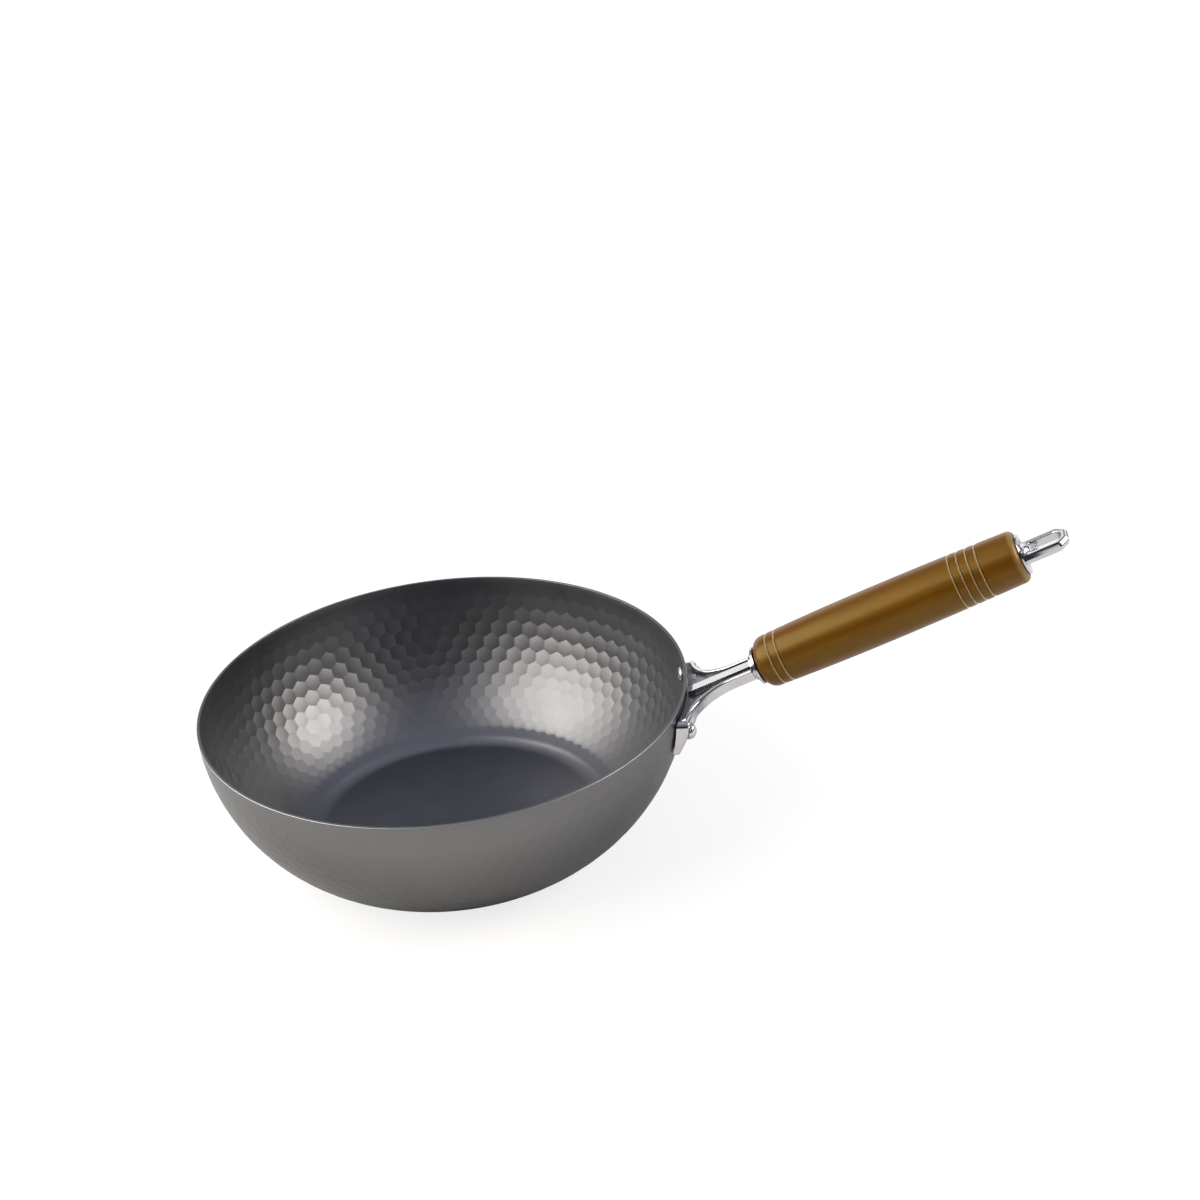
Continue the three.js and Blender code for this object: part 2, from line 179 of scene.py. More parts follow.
# %% A new finish, with clouds and grain
def new_finish(name):
    finish = bpy.data.materials.new(name)
    finish.use_nodes = True
    tree = finish.node_tree
    shader = tree.nodes["Principled BSDF"]
    place = add_node(tree, "ShaderNodeTexCoord").outputs["Object"]
    return finish, tree, shader, place


def add_clouds(tree, vector, scale, lowest=0.0, highest=1.0):
    node = add_node(tree, "ShaderNodeGroup", node_tree=cloudiness)
    set_inputs(node, Scale=scale, Lowest=lowest, Highest=highest)
    tree.links.new(vector, node.inputs["Vector"])
    return node.outputs["Amount"]


def add_grain_bump(tree, shader, vector, scale, strength, depth):
    node = add_node(tree, "ShaderNodeGroup", node_tree=fine_grain)
    set_inputs(node, Scale=scale)
    tree.links.new(vector, node.inputs["Vector"])
    bump = set_inputs(add_node(tree, "ShaderNodeBump"), Strength=strength, Distance=depth)
    tree.links.new(node.outputs["Height"], bump.inputs["Height"])
    tree.links.new(bump.outputs["Normal"], shader.inputs["Normal"])


print("a finish starts from a shader and the place on its piece")

# %% Colours mixed and numbers worked out by nodes
# A Mix node has sockets for numbers and vectors too, so its colours are reached by their place.
MIX_FIRST = 6
MIX_SECOND = 7
MIX_RESULT = 2


def feed(tree, socket, given):
    if isinstance(given, bpy.types.NodeSocket):
        tree.links.new(given, socket)
    elif isinstance(given, tuple):
        socket.default_value = (*given, 1.0)
    else:
        socket.default_value = given


def mix_colours(tree, amount, first, second):
    mix = add_node(tree, "ShaderNodeMix", data_type="RGBA")
    tree.links.new(amount, mix.inputs["Factor"])
    feed(tree, mix.inputs[MIX_FIRST], first)
    feed(tree, mix.inputs[MIX_SECOND], second)
    return mix.outputs[MIX_RESULT]


def add_math(tree, operation, first, second):
    node = add_node(tree, "ShaderNodeMath", operation=operation)
    feed(tree, node.inputs[0], first)
    feed(tree, node.inputs[1], second)
    return node.outputs["Value"]


def add_mark(tree, name):
    return add_node(tree, "ShaderNodeAttribute", attribute_name=name).outputs["Fac"]


print("a colour, a number or a mark on the faces can feed any socket")

# %% [markdown]
# ## Iron: the finish of the bowl
# The sheet is bare iron with a thin blue-grey skin from the rolling mill: a dull metal that takes
# wide, soft highlights. Outside, a painted shade darkens it towards the foot. Only the outer edge of
# the lip, where the burr is ground off, is bright. Two marks on the faces say where the outside and that
# edge are.

# %% Iron finish
IRON_TINTS = ((0.176, 0.181, 0.196), (0.193, 0.197, 0.208))
OUTSIDE_TINT = (0.187, 0.191, 0.193)
# Painted shade on the outside towards the foot.
FOOT_PAINTED_SHADE = (0.096, 0.099, 0.105)
GROUND_TINT = (0.40, 0.40, 0.395)
FOOT_FROM = 5.0 * MM
FOOT_TO = 75.0 * MM


def add_foot_shade(tree, place):
    height = add_node(tree, "ShaderNodeSeparateXYZ")
    tree.links.new(place, height.inputs["Vector"])
    foot = set_inputs(add_node(tree, "ShaderNodeMapRange"), From_Min=FOOT_TO, From_Max=FOOT_FROM)
    tree.links.new(height.outputs["Z"], foot.inputs["Value"])
    return foot.outputs["Result"]


def make_iron():
    finish, tree, shader, place = new_finish("blued_iron")
    inside_tint = mix_colours(tree, add_clouds(tree, place, scale=26.0), *IRON_TINTS)
    outside = add_mark(tree, "outside")
    # Painted shade: the outside is darkened towards the foot.
    low = add_math(tree, "MULTIPLY", add_foot_shade(tree, place), outside)
    skin = mix_colours(tree, low, mix_colours(tree, outside, inside_tint, OUTSIDE_TINT), FOOT_PAINTED_SHADE)
    bright = mix_colours(tree, add_mark(tree, "ground_edge"), skin, GROUND_TINT)
    tree.links.new(bright, shader.inputs["Base Color"])
    sheen = add_clouds(tree, place, scale=60.0, lowest=0.38, highest=0.42)
    tree.links.new(sheen, shader.inputs["Roughness"])
    set_inputs(shader, Metallic=1.0)
    add_grain_bump(tree, shader, place, scale=2600.0, strength=0.12, depth=0.06 * MM)
    return finish


iron = make_iron()
print("finish:", iron.name)

# %% [markdown]
# ## Chrome and steel: the finishes of the fittings
# The bracket, the ferrule and the eye are polished and plated, so they are nearly mirrors, with a
# faint haze left by the polishing wheel. The wheel doesn't reach into the bracket's grooves, so
# they stay dull, and a mark on their faces says so; the same mark also paints shade into the
# grooves by darkening their colour. The rivets, the rod and the nut are plain steel, less smooth
# than the plating. The haze is cloudiness in the roughness.

# %% Chrome and steel finishes
CHROME_TINTS = ((0.55, 0.555, 0.57), (0.60, 0.60, 0.61))
# Painted shade in the bracket's grooves.
GROOVE_PAINTED_SHADE = (0.26, 0.265, 0.28)
GROOVE_DULLNESS = 0.14
STEEL_TINTS = ((0.62, 0.62, 0.63), (0.72, 0.72, 0.72))


def make_chrome():
    finish, tree, shader, place = new_finish("polished_chrome")
    groove = add_mark(tree, "groove")
    plating = mix_colours(tree, add_clouds(tree, place, scale=90.0), *CHROME_TINTS)
    # Painted shade: the groove mark darkens the colour inside the grooves.
    tree.links.new(mix_colours(tree, groove, plating, GROOVE_PAINTED_SHADE), shader.inputs["Base Color"])
    haze = add_clouds(tree, place, scale=150.0, lowest=0.13, highest=0.20)
    dull = add_math(tree, "MULTIPLY", groove, GROOVE_DULLNESS)
    tree.links.new(add_math(tree, "ADD", haze, dull), shader.inputs["Roughness"])
    set_inputs(shader, Metallic=1.0)
    add_grain_bump(tree, shader, place, scale=900.0, strength=0.05, depth=0.05 * MM)
    return finish


def make_steel():
    finish, tree, shader, place = new_finish("plain_steel")
    tint = mix_colours(tree, add_clouds(tree, place, scale=240.0), *STEEL_TINTS)
    tree.links.new(tint, shader.inputs["Base Color"])
    haze = add_clouds(tree, place, scale=320.0, lowest=0.22, highest=0.32)
    tree.links.new(haze, shader.inputs["Roughness"])
    set_inputs(shader, Metallic=1.0)
    add_grain_bump(tree, shader, place, scale=2200.0, strength=0.10, depth=0.05 * MM)
    return finish


chrome = make_chrome()
steel = make_steel()
print("finishes:", chrome.name, "and", steel.name)

# %% [markdown]
# ## The bowl's section
# In section the bowl is a flat base, a foot and one long arc that ends almost upright at the rim.
# Outside, the foot is one plain bend. Inside, the press leaves a soft step round the base: a bend
# up, a flatter band, and a second bend into the wall. A point of the sheet is given by how far up
# the inside it is, along the surface, and by how far it stands off it. The outside is then the
# same sheet one thickness further out.

# %% Arc of the wall
RIM_RADIUS = 140.0
PAN_HEIGHT = 90.0
BASE_RADIUS = 88.5
RIM_SLOPE = math.radians(89.0)
SHEET = 1.6

foot_slope = 2.0 * math.atan2(PAN_HEIGHT, RIM_RADIUS - BASE_RADIUS) - RIM_SLOPE
wall_radius = (RIM_RADIUS - BASE_RADIUS) / (math.sin(RIM_SLOPE) - math.sin(foot_slope))
wall_r = BASE_RADIUS - wall_radius * math.sin(foot_slope)
wall_z = wall_radius * math.cos(foot_slope)
inside_wall = wall_radius - SHEET
rim_up = inside_wall * (RIM_SLOPE - foot_slope)


def outside_radius_at(z):
    return wall_r + math.sqrt(wall_radius**2 - (wall_z - z) ** 2)


print("the wall is", round(rim_up, 1), "mm long, an arc of", round(wall_radius, 1), "mm radius")

# %% Bends of the foot
FIRST_BEND = math.radians(32.0)
BAND_SLOPE = math.radians(21.0)
INSIDE_BENDS = [(6.5, FIRST_BEND), (1.8, BAND_SLOPE), (4.0, BAND_SLOPE), (2.2, None)]
INSIDE_JOIN = 12.0
OUTSIDE_BENDS = [(1.0, None)]
OUTSIDE_JOIN = 2.2


def along_bends(bends, way):
    out, rise, slope = 0.0, 0.0, 0.0
    for length, end in bends:
        step = min(way, length)
        tilt = slope + (end - slope) * step / length / 2.0
        out += step * math.cos(tilt)
        rise += step * math.sin(tilt)
        way -= step
        slope = end
    return out, rise


def foot_below(join, wall, floor, bends):
    slope = foot_slope + join / inside_wall
    bends = [*bends[:-1], (bends[-1][0], slope)]
    rise = wall_z - wall * math.cos(slope) - floor
    fit = rise / along_bends(bends, math.inf)[1]
    bends = [(fit * length, end) for length, end in bends]
    run = along_bends(bends, math.inf)[0]
    start = wall_r + wall * math.sin(slope) - run
    length = sum(length for length, _ in bends)
    return {"up": join, "floor": floor, "bends": bends, "length": length, "r": start}


INSIDE_FOOT = foot_below(INSIDE_JOIN, inside_wall, SHEET, INSIDE_BENDS)
OUTSIDE_FOOT = foot_below(OUTSIDE_JOIN, wall_radius, 0.0, OUTSIDE_BENDS)
print("the flat base is", round(2 * INSIDE_FOOT["r"], 1), "mm across inside")


# %% A point of the sheet
def foot_for(off):
    return INSIDE_FOOT if off > -SHEET / 2.0 else OUTSIDE_FOOT


def sheet_point(up, off):
    foot = foot_for(off)
    if up >= foot["up"]:
        slope = foot_slope + up / inside_wall
        arc = inside_wall - off
        return wall_r + arc * math.sin(slope), wall_z - arc * math.cos(slope)
    way = foot["length"] - (foot["up"] - up)
    if way > 0.0:
        out, rise = along_bends(foot["bends"], way)
        return foot["r"] + out, foot["floor"] + rise + max(off, 0.0)
    return max(0.0, foot["r"] + way), foot["floor"]


print("the rim's inner edge:", [round(side, 1) for side in sheet_point(rim_up, 0.0)], "mm out and up")

# %% [markdown]
# ## The honeycomb
# Eighty-two pillows go round the wall in each of eleven rows, every other row moved by half a
# pillow. Nine hundred separate shapes could be placed one by one, but it is far simpler to model
# one upright strip of the sheet, a single pitch wide and still flat, roll it on to the section, and
# spin copies of it round the middle. A pillow is a six-sided circle that is inset and poked, which
# leaves crisp valleys between neighbours and a soft crown. The upper rows are pressed deepest, and
# the lowest and the last one are faint. Outside there is only a slight imprint.

# %% Rows of the honeycomb
PILLOWS_ROUND = 82
ROWS = 11
FIRST_ROW_UP = 13.1
ROW_STEP = 0.852
FIRST_PILLOW_ANGLE = math.radians(1.43)
pitch_angle = 2.0 * math.pi / PILLOWS_ROUND


def row_step_at(up):
    return ROW_STEP * sheet_point(up, 0.0)[0] * pitch_angle


row_up = [FIRST_ROW_UP]
for _ in range(ROWS):
    row_up.append(row_up[-1] + row_step_at(row_up[-1]))
print("rows lie", [round(up, 1) for up in row_up[:ROWS]], "mm up the wall")

# %% One pillow, laid in its row
HEX_CORNER = 1.0 / math.sqrt(3.0)
ROW_DEPTH = (0.30, 0.35, 0.40, 0.50, 0.75, 1.10, 1.50, 1.80, 1.80, 1.40, 0.80)
INSIDE_PILLOW = {"insets": ((0.12, 0.080), (0.18, 0.080)), "crown": 0.030, "depth": ROW_DEPTH}
OUTSIDE_PILLOW = {"insets": ((0.14, 0.120),), "crown": 0.080, "depth": (1.0,) * ROWS}


def press_pillow(strip, form):
    made = bmesh.ops.create_circle(strip, cap_ends=True, segments=6, radius=HEX_CORNER)
    cell = made["verts"][0].link_faces[0]
    cell.normal_update()
    if cell.normal.z < 0.0:
        cell.normal_flip()
    for edge in cell.edges:
        edge.smooth = False
    for width, rise in form["insets"]:
        bmesh.ops.inset_individual(strip, faces=[cell], thickness=width, depth=rise, use_even_offset=True)
    bmesh.ops.poke(strip, faces=[cell], offset=form["crown"])


def add_pillow(strip, row, off, form):
    known = len(strip.verts)
    press_pillow(strip, form)
    strip.verts.ensure_lookup_table()
    row_below = row_up[row - 1] if row else row_up[0] - row_step_at(row_up[0])
    above = row_up[row + 1] - row_up[row]
    below = row_up[row] - row_below
    stretch = 2.0 / 3.0 / HEX_CORNER
    for vertex in strip.verts[known:]:
        vertex.co.x += 0.5 * (row % 2)
        vertex.co.y = row_up[row] + vertex.co.y * stretch * (above if vertex.co.y > 0.0 else below)
        vertex.co.z = off + vertex.co.z * form["depth"][row]


print("a pillow is", round(2 * HEX_CORNER, 3), "pitches from corner to corner")

# %% [markdown]
# Below the honeycomb the strip carries on as a smooth band, round the corner and across the base
# to the middle. Above it another band runs up to the lip, which is folded over as a small rounded
# edge and meets the strip of the outside.

# %% Levels below and above the honeycomb
FOOT_STEPS = 18
BASE_RINGS = (74.0, 55.0, 28.0, 8.0, 0.0)
LOW_BAND = 7.4
TOP_BAND = (98.6, 102.4)
LIP_STEPS = 3
LIP_EDGE = 0.28


def levels_down(off):
    foot = foot_for(off)
    top, bottom = min(LOW_BAND, foot["up"]), foot["up"] - foot["length"]
    bend = {top + (bottom - top) * i / FOOT_STEPS for i in range(FOOT_STEPS + 1)}
    base = [bottom - (foot["r"] - radius) for radius in BASE_RINGS]
    return [(up, off) for up in (*sorted({LOW_BAND, *bend}, reverse=True), *base)]


def lip_levels():
    turns = [math.pi / 2.0 * i / LIP_STEPS for i in range(LIP_STEPS + 1)]
    start = rim_up - LIP_EDGE
    curve = [(start + LIP_EDGE * math.sin(turn), LIP_EDGE * math.cos(turn) - LIP_EDGE) for turn in turns]
    return curve + [(up, -SHEET - off) for up, off in reversed(curve)]


print("the strip goes down in", len(levels_down(0.0)), "steps and over the lip in", len(lip_levels()))

# %% Edges of the strip, carried on
LEVEL_NEAR = 0.001


def edge_of_strip(strip, off, top):
    limit = row_up[ROWS - 1] if top else row_up[0]
    chosen = []
    for edge in strip.edges:
        ends = [vertex.co for vertex in edge.verts]
        level = all((end.y > limit) == top and abs(end.z - off) < LEVEL_NEAR for end in ends)
        if edge.is_boundary and level:
            chosen.append(edge)
    return chosen


def extrude_line(bm, edges):
    made = bmesh.ops.extrude_edge_only(bm, edges=edges)["geom"]
    fresh = {item for item in made if isinstance(item, bmesh.types.BMVert)}
    lines = [item for item in made if isinstance(item, bmesh.types.BMEdge) and set(item.verts) <= fresh]
    return fresh, lines


def carry_on(strip, edges, levels):
    for up, off in levels:
        fresh, edges = extrude_line(strip, edges)
        for vertex in fresh:
            vertex.co.y = up
            vertex.co.z = off
        for edge in edges:
            edge.smooth = True


print("an edge of the strip is level to within", LEVEL_NEAR, "mm")

# %% One strip of the sheet
STRIP_MERGE = 0.0005
OUTSIDE_FROM = 0.9


def mark_skin(strip):
    outside = strip.faces.layers.float.new("outside")
    ground = strip.faces.layers.float.new("ground_edge")
    for face in strip.faces:
        middle = face.calc_center_median()
        face[outside] = 1.0 if middle.z < -OUTSIDE_FROM * SHEET else 0.0
        face[ground] = 1.0 if middle.y > rim_up - LIP_EDGE and middle.z < LIP_EDGE - SHEET else 0.0


def make_strip():
    strip = bmesh.new()
    for off, form in ((0.0, INSIDE_PILLOW), (-SHEET, OUTSIDE_PILLOW)):
        for row in range(ROWS):
            add_pillow(strip, row, off, form)
    bmesh.ops.remove_doubles(strip, verts=strip.verts[:], dist=STRIP_MERGE)
    for off in (0.0, -SHEET):
        carry_on(strip, edge_of_strip(strip, off, False), levels_down(off))
    inner_top, outer_top = [edge_of_strip(strip, off, True) for off in (0.0, -SHEET)]
    carry_on(strip, inner_top, [(up, 0.0) for up in TOP_BAND] + lip_levels())
    carry_on(strip, outer_top, [(up, -SHEET) for up in TOP_BAND] + lip_levels()[-1:])
    mark_skin(strip)
    return strip


strip = make_strip()
print("one strip has", len(strip.faces), "faces")


# %% Bowl, rolled on to its section and spun
def everything_in(bm):
    return bm.verts[:] + bm.edges[:] + bm.faces[:]


def make_bowl(bowl):
    for vertex in bowl.verts:
        turn = FIRST_PILLOW_ANGLE + vertex.co.x * pitch_angle
        radius, height = sheet_point(vertex.co.y, vertex.co.z)
        vertex.co = (radius * math.cos(turn), radius * math.sin(turn), height)
    copies = PILLOWS_ROUND - 1
    bmesh.ops.spin(bowl, geom=everything_in(bowl), cent=(0.0, 0.0, 0.0), axis=(0.0, 0.0, 1.0),
                   angle=copies * pitch_angle, steps=copies, use_duplicate=True)
    close_up(bowl)
    iron_volume = round(bowl.calc_volume(signed=True))
    print("bowl:", loose_edges(bowl), "loose edges,", iron_volume, "cubic mm of iron")
    return object_from(bowl, "iron_bowl", to_metres)


dress(make_bowl(strip), "pan_body", iron)

# %% [markdown]
# ## The handle's own frame
# The handle rises from the wall at a steady angle. Everything on it is drawn along its own X axis,
# with stations measured from the wall, and one matrix lays it on the pan.

# %% Handle frame and stations
SEAT_GAP = 0.3
HANDLE_Z = 82.5
HANDLE_RISE = math.radians(23.8)
NECK_LENGTH = 44.2
FERRULE_THICKNESS = 1.6
GRIP_LENGTH = 157.2

handle_root = Vector((outside_radius_at(HANDLE_Z), 0.0, HANDLE_Z))
handle_frame = Matrix.Translation(handle_root) @ Matrix.Rotation(-HANDLE_RISE, 4, "Y")
handle_place = to_metres @ handle_frame
ferrule_start = NECK_LENGTH + SEAT_GAP
grip_start = ferrule_start + FERRULE_THICKNESS + SEAT_GAP
eye_start = grip_start + GRIP_LENGTH + SEAT_GAP
print("grip from", round(grip_start, 1), "to", round(grip_start + GRIP_LENGTH, 1), "mm along the handle")

# %% [markdown]
# ## The bracket's neck and arms
# The bracket is cast: a flat neck with a rib down its middle and a wall along each side, which
# swing out into two arms at the pan. It could be carved out of a block, but its plan is so plain
# that it is quicker to lay out half of it flat, in strips for rib, groove and wall, mirror that,
# and pull the parts up from the floor of the grooves. Bevels then round the tops of the walls and
# ease the other edges.

# %% Sizes of the neck and its arms
NECK_HALF = 9.2
RIB_HALF = 3.2
SIDE_WALL = 2.6
ARM_FILLET = 27.0
ARM_INSET = 3.0
PLATE_HALF = 36.0
PLATE_TOP = 85.0
PLATE_TOP_THICKNESS = 7.2
PLATE_OUTER = outside_radius_at(PLATE_TOP) + PLATE_TOP_THICKNESS

rise_cos = math.cos(HANDLE_RISE)
arm_half = PLATE_HALF - ARM_INSET
arm_root = (math.sqrt(PLATE_OUTER**2 - PLATE_HALF**2) - handle_root.x) / rise_cos
fillet_x = arm_root + ARM_FILLET
fillet_y = NECK_HALF + ARM_FILLET
print("arms swing out from", round(fillet_x, 1), "mm to the pan's wall")

# %% Plan of the neck, half of it
NECK_TOP = 3.3
RIM_CLEARANCE = 0.5
RIB_SHORT = 1.5
COLLAR_THICKNESS = 1.8
ARM_STEPS = 14


def bowl_station(y):
    clear = RIM_RADIUS + RIM_CLEARANCE
    lean = NECK_TOP * math.sin(HANDLE_RISE)
    return (math.sqrt(clear**2 - y**2) - handle_root.x + lean) / rise_cos


def arm_point(radius, turn, widest):
    across = min(widest, fillet_y - radius * math.cos(turn))
    return fillet_x - radius * math.sin(turn), across


def plan_rows():
    start = NECK_LENGTH - COLLAR_THICKNESS
    rows = [[(start, across) for across in (0.0, RIB_HALF, NECK_HALF - SIDE_WALL, NECK_HALF)]]
    for i in range(ARM_STEPS + 1):
        turn = math.pi / 2.0 * i / ARM_STEPS
        inner = arm_point(ARM_FILLET + SIDE_WALL, turn, arm_half - SIDE_WALL)
        outer = arm_point(ARM_FILLET, turn, arm_half)
        along = fillet_x + (bowl_station(RIB_HALF) + RIB_SHORT - fillet_x) * i / ARM_STEPS
        rows.append([(along, 0.0), (along, RIB_HALF), inner, outer])
    rows.append([(bowl_station(across), across) for _, across in rows[-1]])
    return rows


print("the plan has", len(plan_rows()), "rows of four points")

# %% Plan laid out and mirrored
GROOVE_FLOOR = 0.6


def lay_out_neck():
    neck = bmesh.new()
    rows = plan_rows()
    points = [neck.verts.new((x, y, GROOVE_FLOOR)) for x, y in rows[0]]
    edges = [neck.edges.new(pair) for pair in zip(points, points[1:])]
    for row in rows[1:]:
        fresh, edges = extrude_line(neck, edges)
        for vertex, (x, y) in zip(sorted(fresh, key=lambda vertex: vertex.co.y), row):
            vertex.co = (x, y, GROOVE_FLOOR)
    bmesh.ops.mirror(neck, geom=everything_in(neck), axis="Y", merge_dist=MERGE_MM)
    close_up(neck)
    return neck


neck = lay_out_neck()
print("plan of the neck:", len(neck.faces), "faces")

# %% Faces pulled and edges eased
SHARP_ANGLE = math.radians(32.0)


def pull(bm, faces, height, keep):
    made = bmesh.ops.extrude_face_region(bm, geom=faces, use_keep_orig=True)["geom"]
    for item in made:
        if isinstance(item, bmesh.types.BMVert):
            item.co.z = height
    if not keep:
        bmesh.ops.delete(bm, geom=faces, context="FACES")


def bevel_edges(bm, edges, size, segments):
    bmesh.ops.bevel(bm, geom=edges, offset=size, offset_type="OFFSET", affect="EDGES", segments=segments,
                    profile=0.5, material=-1, clamp_overlap=True)


def sharp_edges(bm, wanted=lambda edge: True):
    bm.normal_update()
    return [edge for edge in bm.edges
            if edge.is_manifold and edge.calc_face_angle() > SHARP_ANGLE and wanted(edge)]


print("edges over", round(math.degrees(SHARP_ANGLE)), "degrees count as sharp")

# %% Neck, pulled up and down from the floor of the grooves
NEAR = 0.1
NECK_BOTTOM = -3.0
NECK_EDGE = 0.5
WALL_EDGE = 1.05
TURNED_OUT = 0.5


def is_raised(face):
    reach = [abs(vertex.co.y) for vertex in face.verts]
    return max(reach) < RIB_HALF + NEAR or min(reach) > RIB_HALF + NEAR


def is_wall_top(edge):
    ends = [vertex.co for vertex in edge.verts]
    return all(end.z > NECK_TOP - NEAR and abs(end.y) > RIB_HALF + NEAR for end in ends)


# The groove mark makes the grooves rougher and also paints shade into their colour.
def mark_grooves(bm):
    groove = bm.faces.layers.float.new("groove")
    bm.normal_update()
    for face in bm.faces:
        middle = face.calc_center_median()
        lean = face.normal.x + face.normal.y * math.copysign(1.0, middle.y)
        deep = GROOVE_FLOOR - NEAR < middle.z < NECK_TOP - WALL_EDGE
        beside_rib = abs(middle.y) < RIB_HALF + NEAR
        face[groove] = 1.0 if deep and (lean < TURNED_OUT or beside_rib) else 0.0
    return sum(face[groove] > 0.0 for face in bm.faces)


plan = neck.faces[:]
raised = [face for face in plan if is_raised(face)]
pull(neck, plan, NECK_BOTTOM, True)
pull(neck, raised, NECK_TOP, False)
close_up(neck)
bevel_edges(neck, sharp_edges(neck, is_wall_top), WALL_EDGE, segments=4)
bevel_edges(neck, sharp_edges(neck), NECK_EDGE, segments=3)
print("neck:", len(neck.faces), "faces,", mark_grooves(neck), "of them in the grooves,",
      loose_edges(neck), "loose edges")

# %% [markdown]
# ## The bracket's base plate, collar and bosses
# The plate is a short piece of ring that hugs the wall, thick at the top and thinner below. Its
# section is drawn once and spun through a small angle, and its two ends are squared off. A collar
# closes the neck, and a low round boss carries each rivet. All of them are joined into one casting,
# with room cut for the rivet heads and a socket for the rod.

# %% Base plate, spun and squared off
PLATE_BREAK = 78.3
PLATE_FOOT = 65.5
PLATE_FOOT_THICKNESS = 4.2
PLATE_LEVELS = (PLATE_TOP, 80.0, 75.0, 70.0, PLATE_FOOT)
PLATE_STEPS = 20
SAME_TURN = 0.0001
plate_reach = math.asin(PLATE_HALF / PLATE_OUTER)


def plate_section():
    section = [(outside_radius_at(z) + SEAT_GAP, z) for z in PLATE_LEVELS]
    section.append((outside_radius_at(PLATE_FOOT) + PLATE_FOOT_THICKNESS, PLATE_FOOT))
    return section + [(PLATE_OUTER, PLATE_BREAK), (PLATE_OUTER, PLATE_TOP)]


def square_ends(plate):
    for vertex in plate.verts:
        if abs(abs(math.atan2(vertex.co.y, vertex.co.x)) - plate_reach) < SAME_TURN:
            side = math.copysign(PLATE_HALF, vertex.co.y)
            vertex.co.x = math.sqrt(vertex.co.x**2 + vertex.co.y**2 - PLATE_HALF**2)
            vertex.co.y = side
    bmesh.ops.holes_fill(plate, edges=[edge for edge in plate.edges if edge.is_boundary], sides=0)


def spin_plate():
    plate = bmesh.new()
    across, aside = math.cos(plate_reach), math.sin(plate_reach)
    points = [plate.verts.new((r * across, -r * aside, z)) for r, z in plate_section()]
    lines = [plate.edges.new(pair) for pair in zip(points, points[1:] + points[:1])]
    bmesh.ops.spin(plate, geom=points + lines, cent=(0.0, 0.0, 0.0), axis=(0.0, 0.0, 1.0),
                   angle=2.0 * plate_reach, steps=PLATE_STEPS)
    square_ends(plate)
    close_up(plate)
    return plate


plate = spin_plate()
print("plate:", len(plate.faces), "faces before its edges are eased")

# %% Base plate, eased at its ends and edges
EAR_GAP = 0.7
EAR_ROUND = 3.2
PLATE_EDGE = 0.7
WALL_SIDE = 1.5


def off_the_wall(point):
    return point.xy.length > outside_radius_at(point.z) + WALL_SIDE


def is_outer_edge(edge):
    return off_the_wall((edge.verts[0].co + edge.verts[1].co) / 2.0)


def is_ear_top(edge):
    ends = [vertex.co for vertex in edge.verts]
    return all(end.z > PLATE_TOP - NEAR and abs(end.y) > PLATE_HALF - NEAR for end in ends)


for vertex in plate.verts:
    if not off_the_wall(vertex.co):
        vertex.co.x += EAR_GAP * (math.atan2(vertex.co.y, vertex.co.x) / plate_reach) ** 2
bevel_edges(plate, sharp_edges(plate, is_ear_top), EAR_ROUND, segments=6)
bevel_edges(plate, sharp_edges(plate, is_outer_edge), PLATE_EDGE, segments=3)
print("plate:", len(plate.faces), "faces,", loose_edges(plate), "loose edges")


# %% Helpers for turned pieces
def turn_profile(bm, profile, steps, closed=False):
    points = [bm.verts.new((station, 0.0, radius)) for station, radius in profile]
    lines = [bm.edges.new(pair) for pair in zip(points, points[1:])]
    if closed:
        lines.append(bm.edges.new((points[-1], points[0])))
    bmesh.ops.spin(bm, geom=points + lines, cent=(0.0, 0.0, 0.0), axis=(1.0, 0.0, 0.0),
                   angle=2.0 * math.pi, steps=steps, use_merge=True)


def rounded(station, radius, edge, from_angle, to_angle, steps=4):
    degrees = [from_angle + (to_angle - from_angle) * i / steps for i in range(steps + 1)]
    turns = [math.radians(degree) for degree in degrees]
    return [(station + edge * math.cos(turn), radius + edge * math.sin(turn)) for turn in turns]


def bar_profile(start, end, radius, edge=0.0):
    if edge == 0.0:
        return [(start, 0.0), (start, radius), (end, radius), (end, 0.0)]
    front = rounded(start + edge, radius - edge, edge, 180.0, 90.0)
    back = rounded(end - edge, radius - edge, edge, 90.0, 0.0)
    return [(start, 0.0), *front, *back, (end, 0.0)]


def turned_tool(name, profile, steps, place, closed=False):
    bm = bmesh.new()
    turn_profile(bm, profile, steps, closed)
    close_up(bm)
    return object_from(bm, name, place)


print("a turned piece is a profile of stations and radii, spun about the X axis")

# %% Where the rivets stand
RIVET_Z = 79.2
RIVET_SPREAD = 30.0
rivet_lean = math.pi / 2.0 - math.acos((wall_z - RIVET_Z) / wall_radius)
rivet_angle = math.asin(RIVET_SPREAD / outside_radius_at(RIVET_Z))


def rivet_frame(side):
    on_wall = Matrix.Translation(Vector((outside_radius_at(RIVET_Z), 0.0, RIVET_Z)))
    return Matrix.Rotation(side * rivet_angle, 4, "Z") @ on_wall @ Matrix.Rotation(rivet_lean, 4, "Y")


print("rivets stand", round(math.degrees(rivet_angle), 2), "degrees either side of the handle")

# %% Helpers that join pieces into a casting
JOINED_SHARP = math.radians(40.0)
STRAIGHT = math.radians(2.0)


def drop_straight_points(bm):
    between_two = [vertex for vertex in bm.verts if len(vertex.link_edges) == 2]
    needless = [vertex for vertex in between_two if vertex.calc_edge_angle() < STRAIGHT]
    bmesh.ops.dissolve_verts(bm, verts=needless)


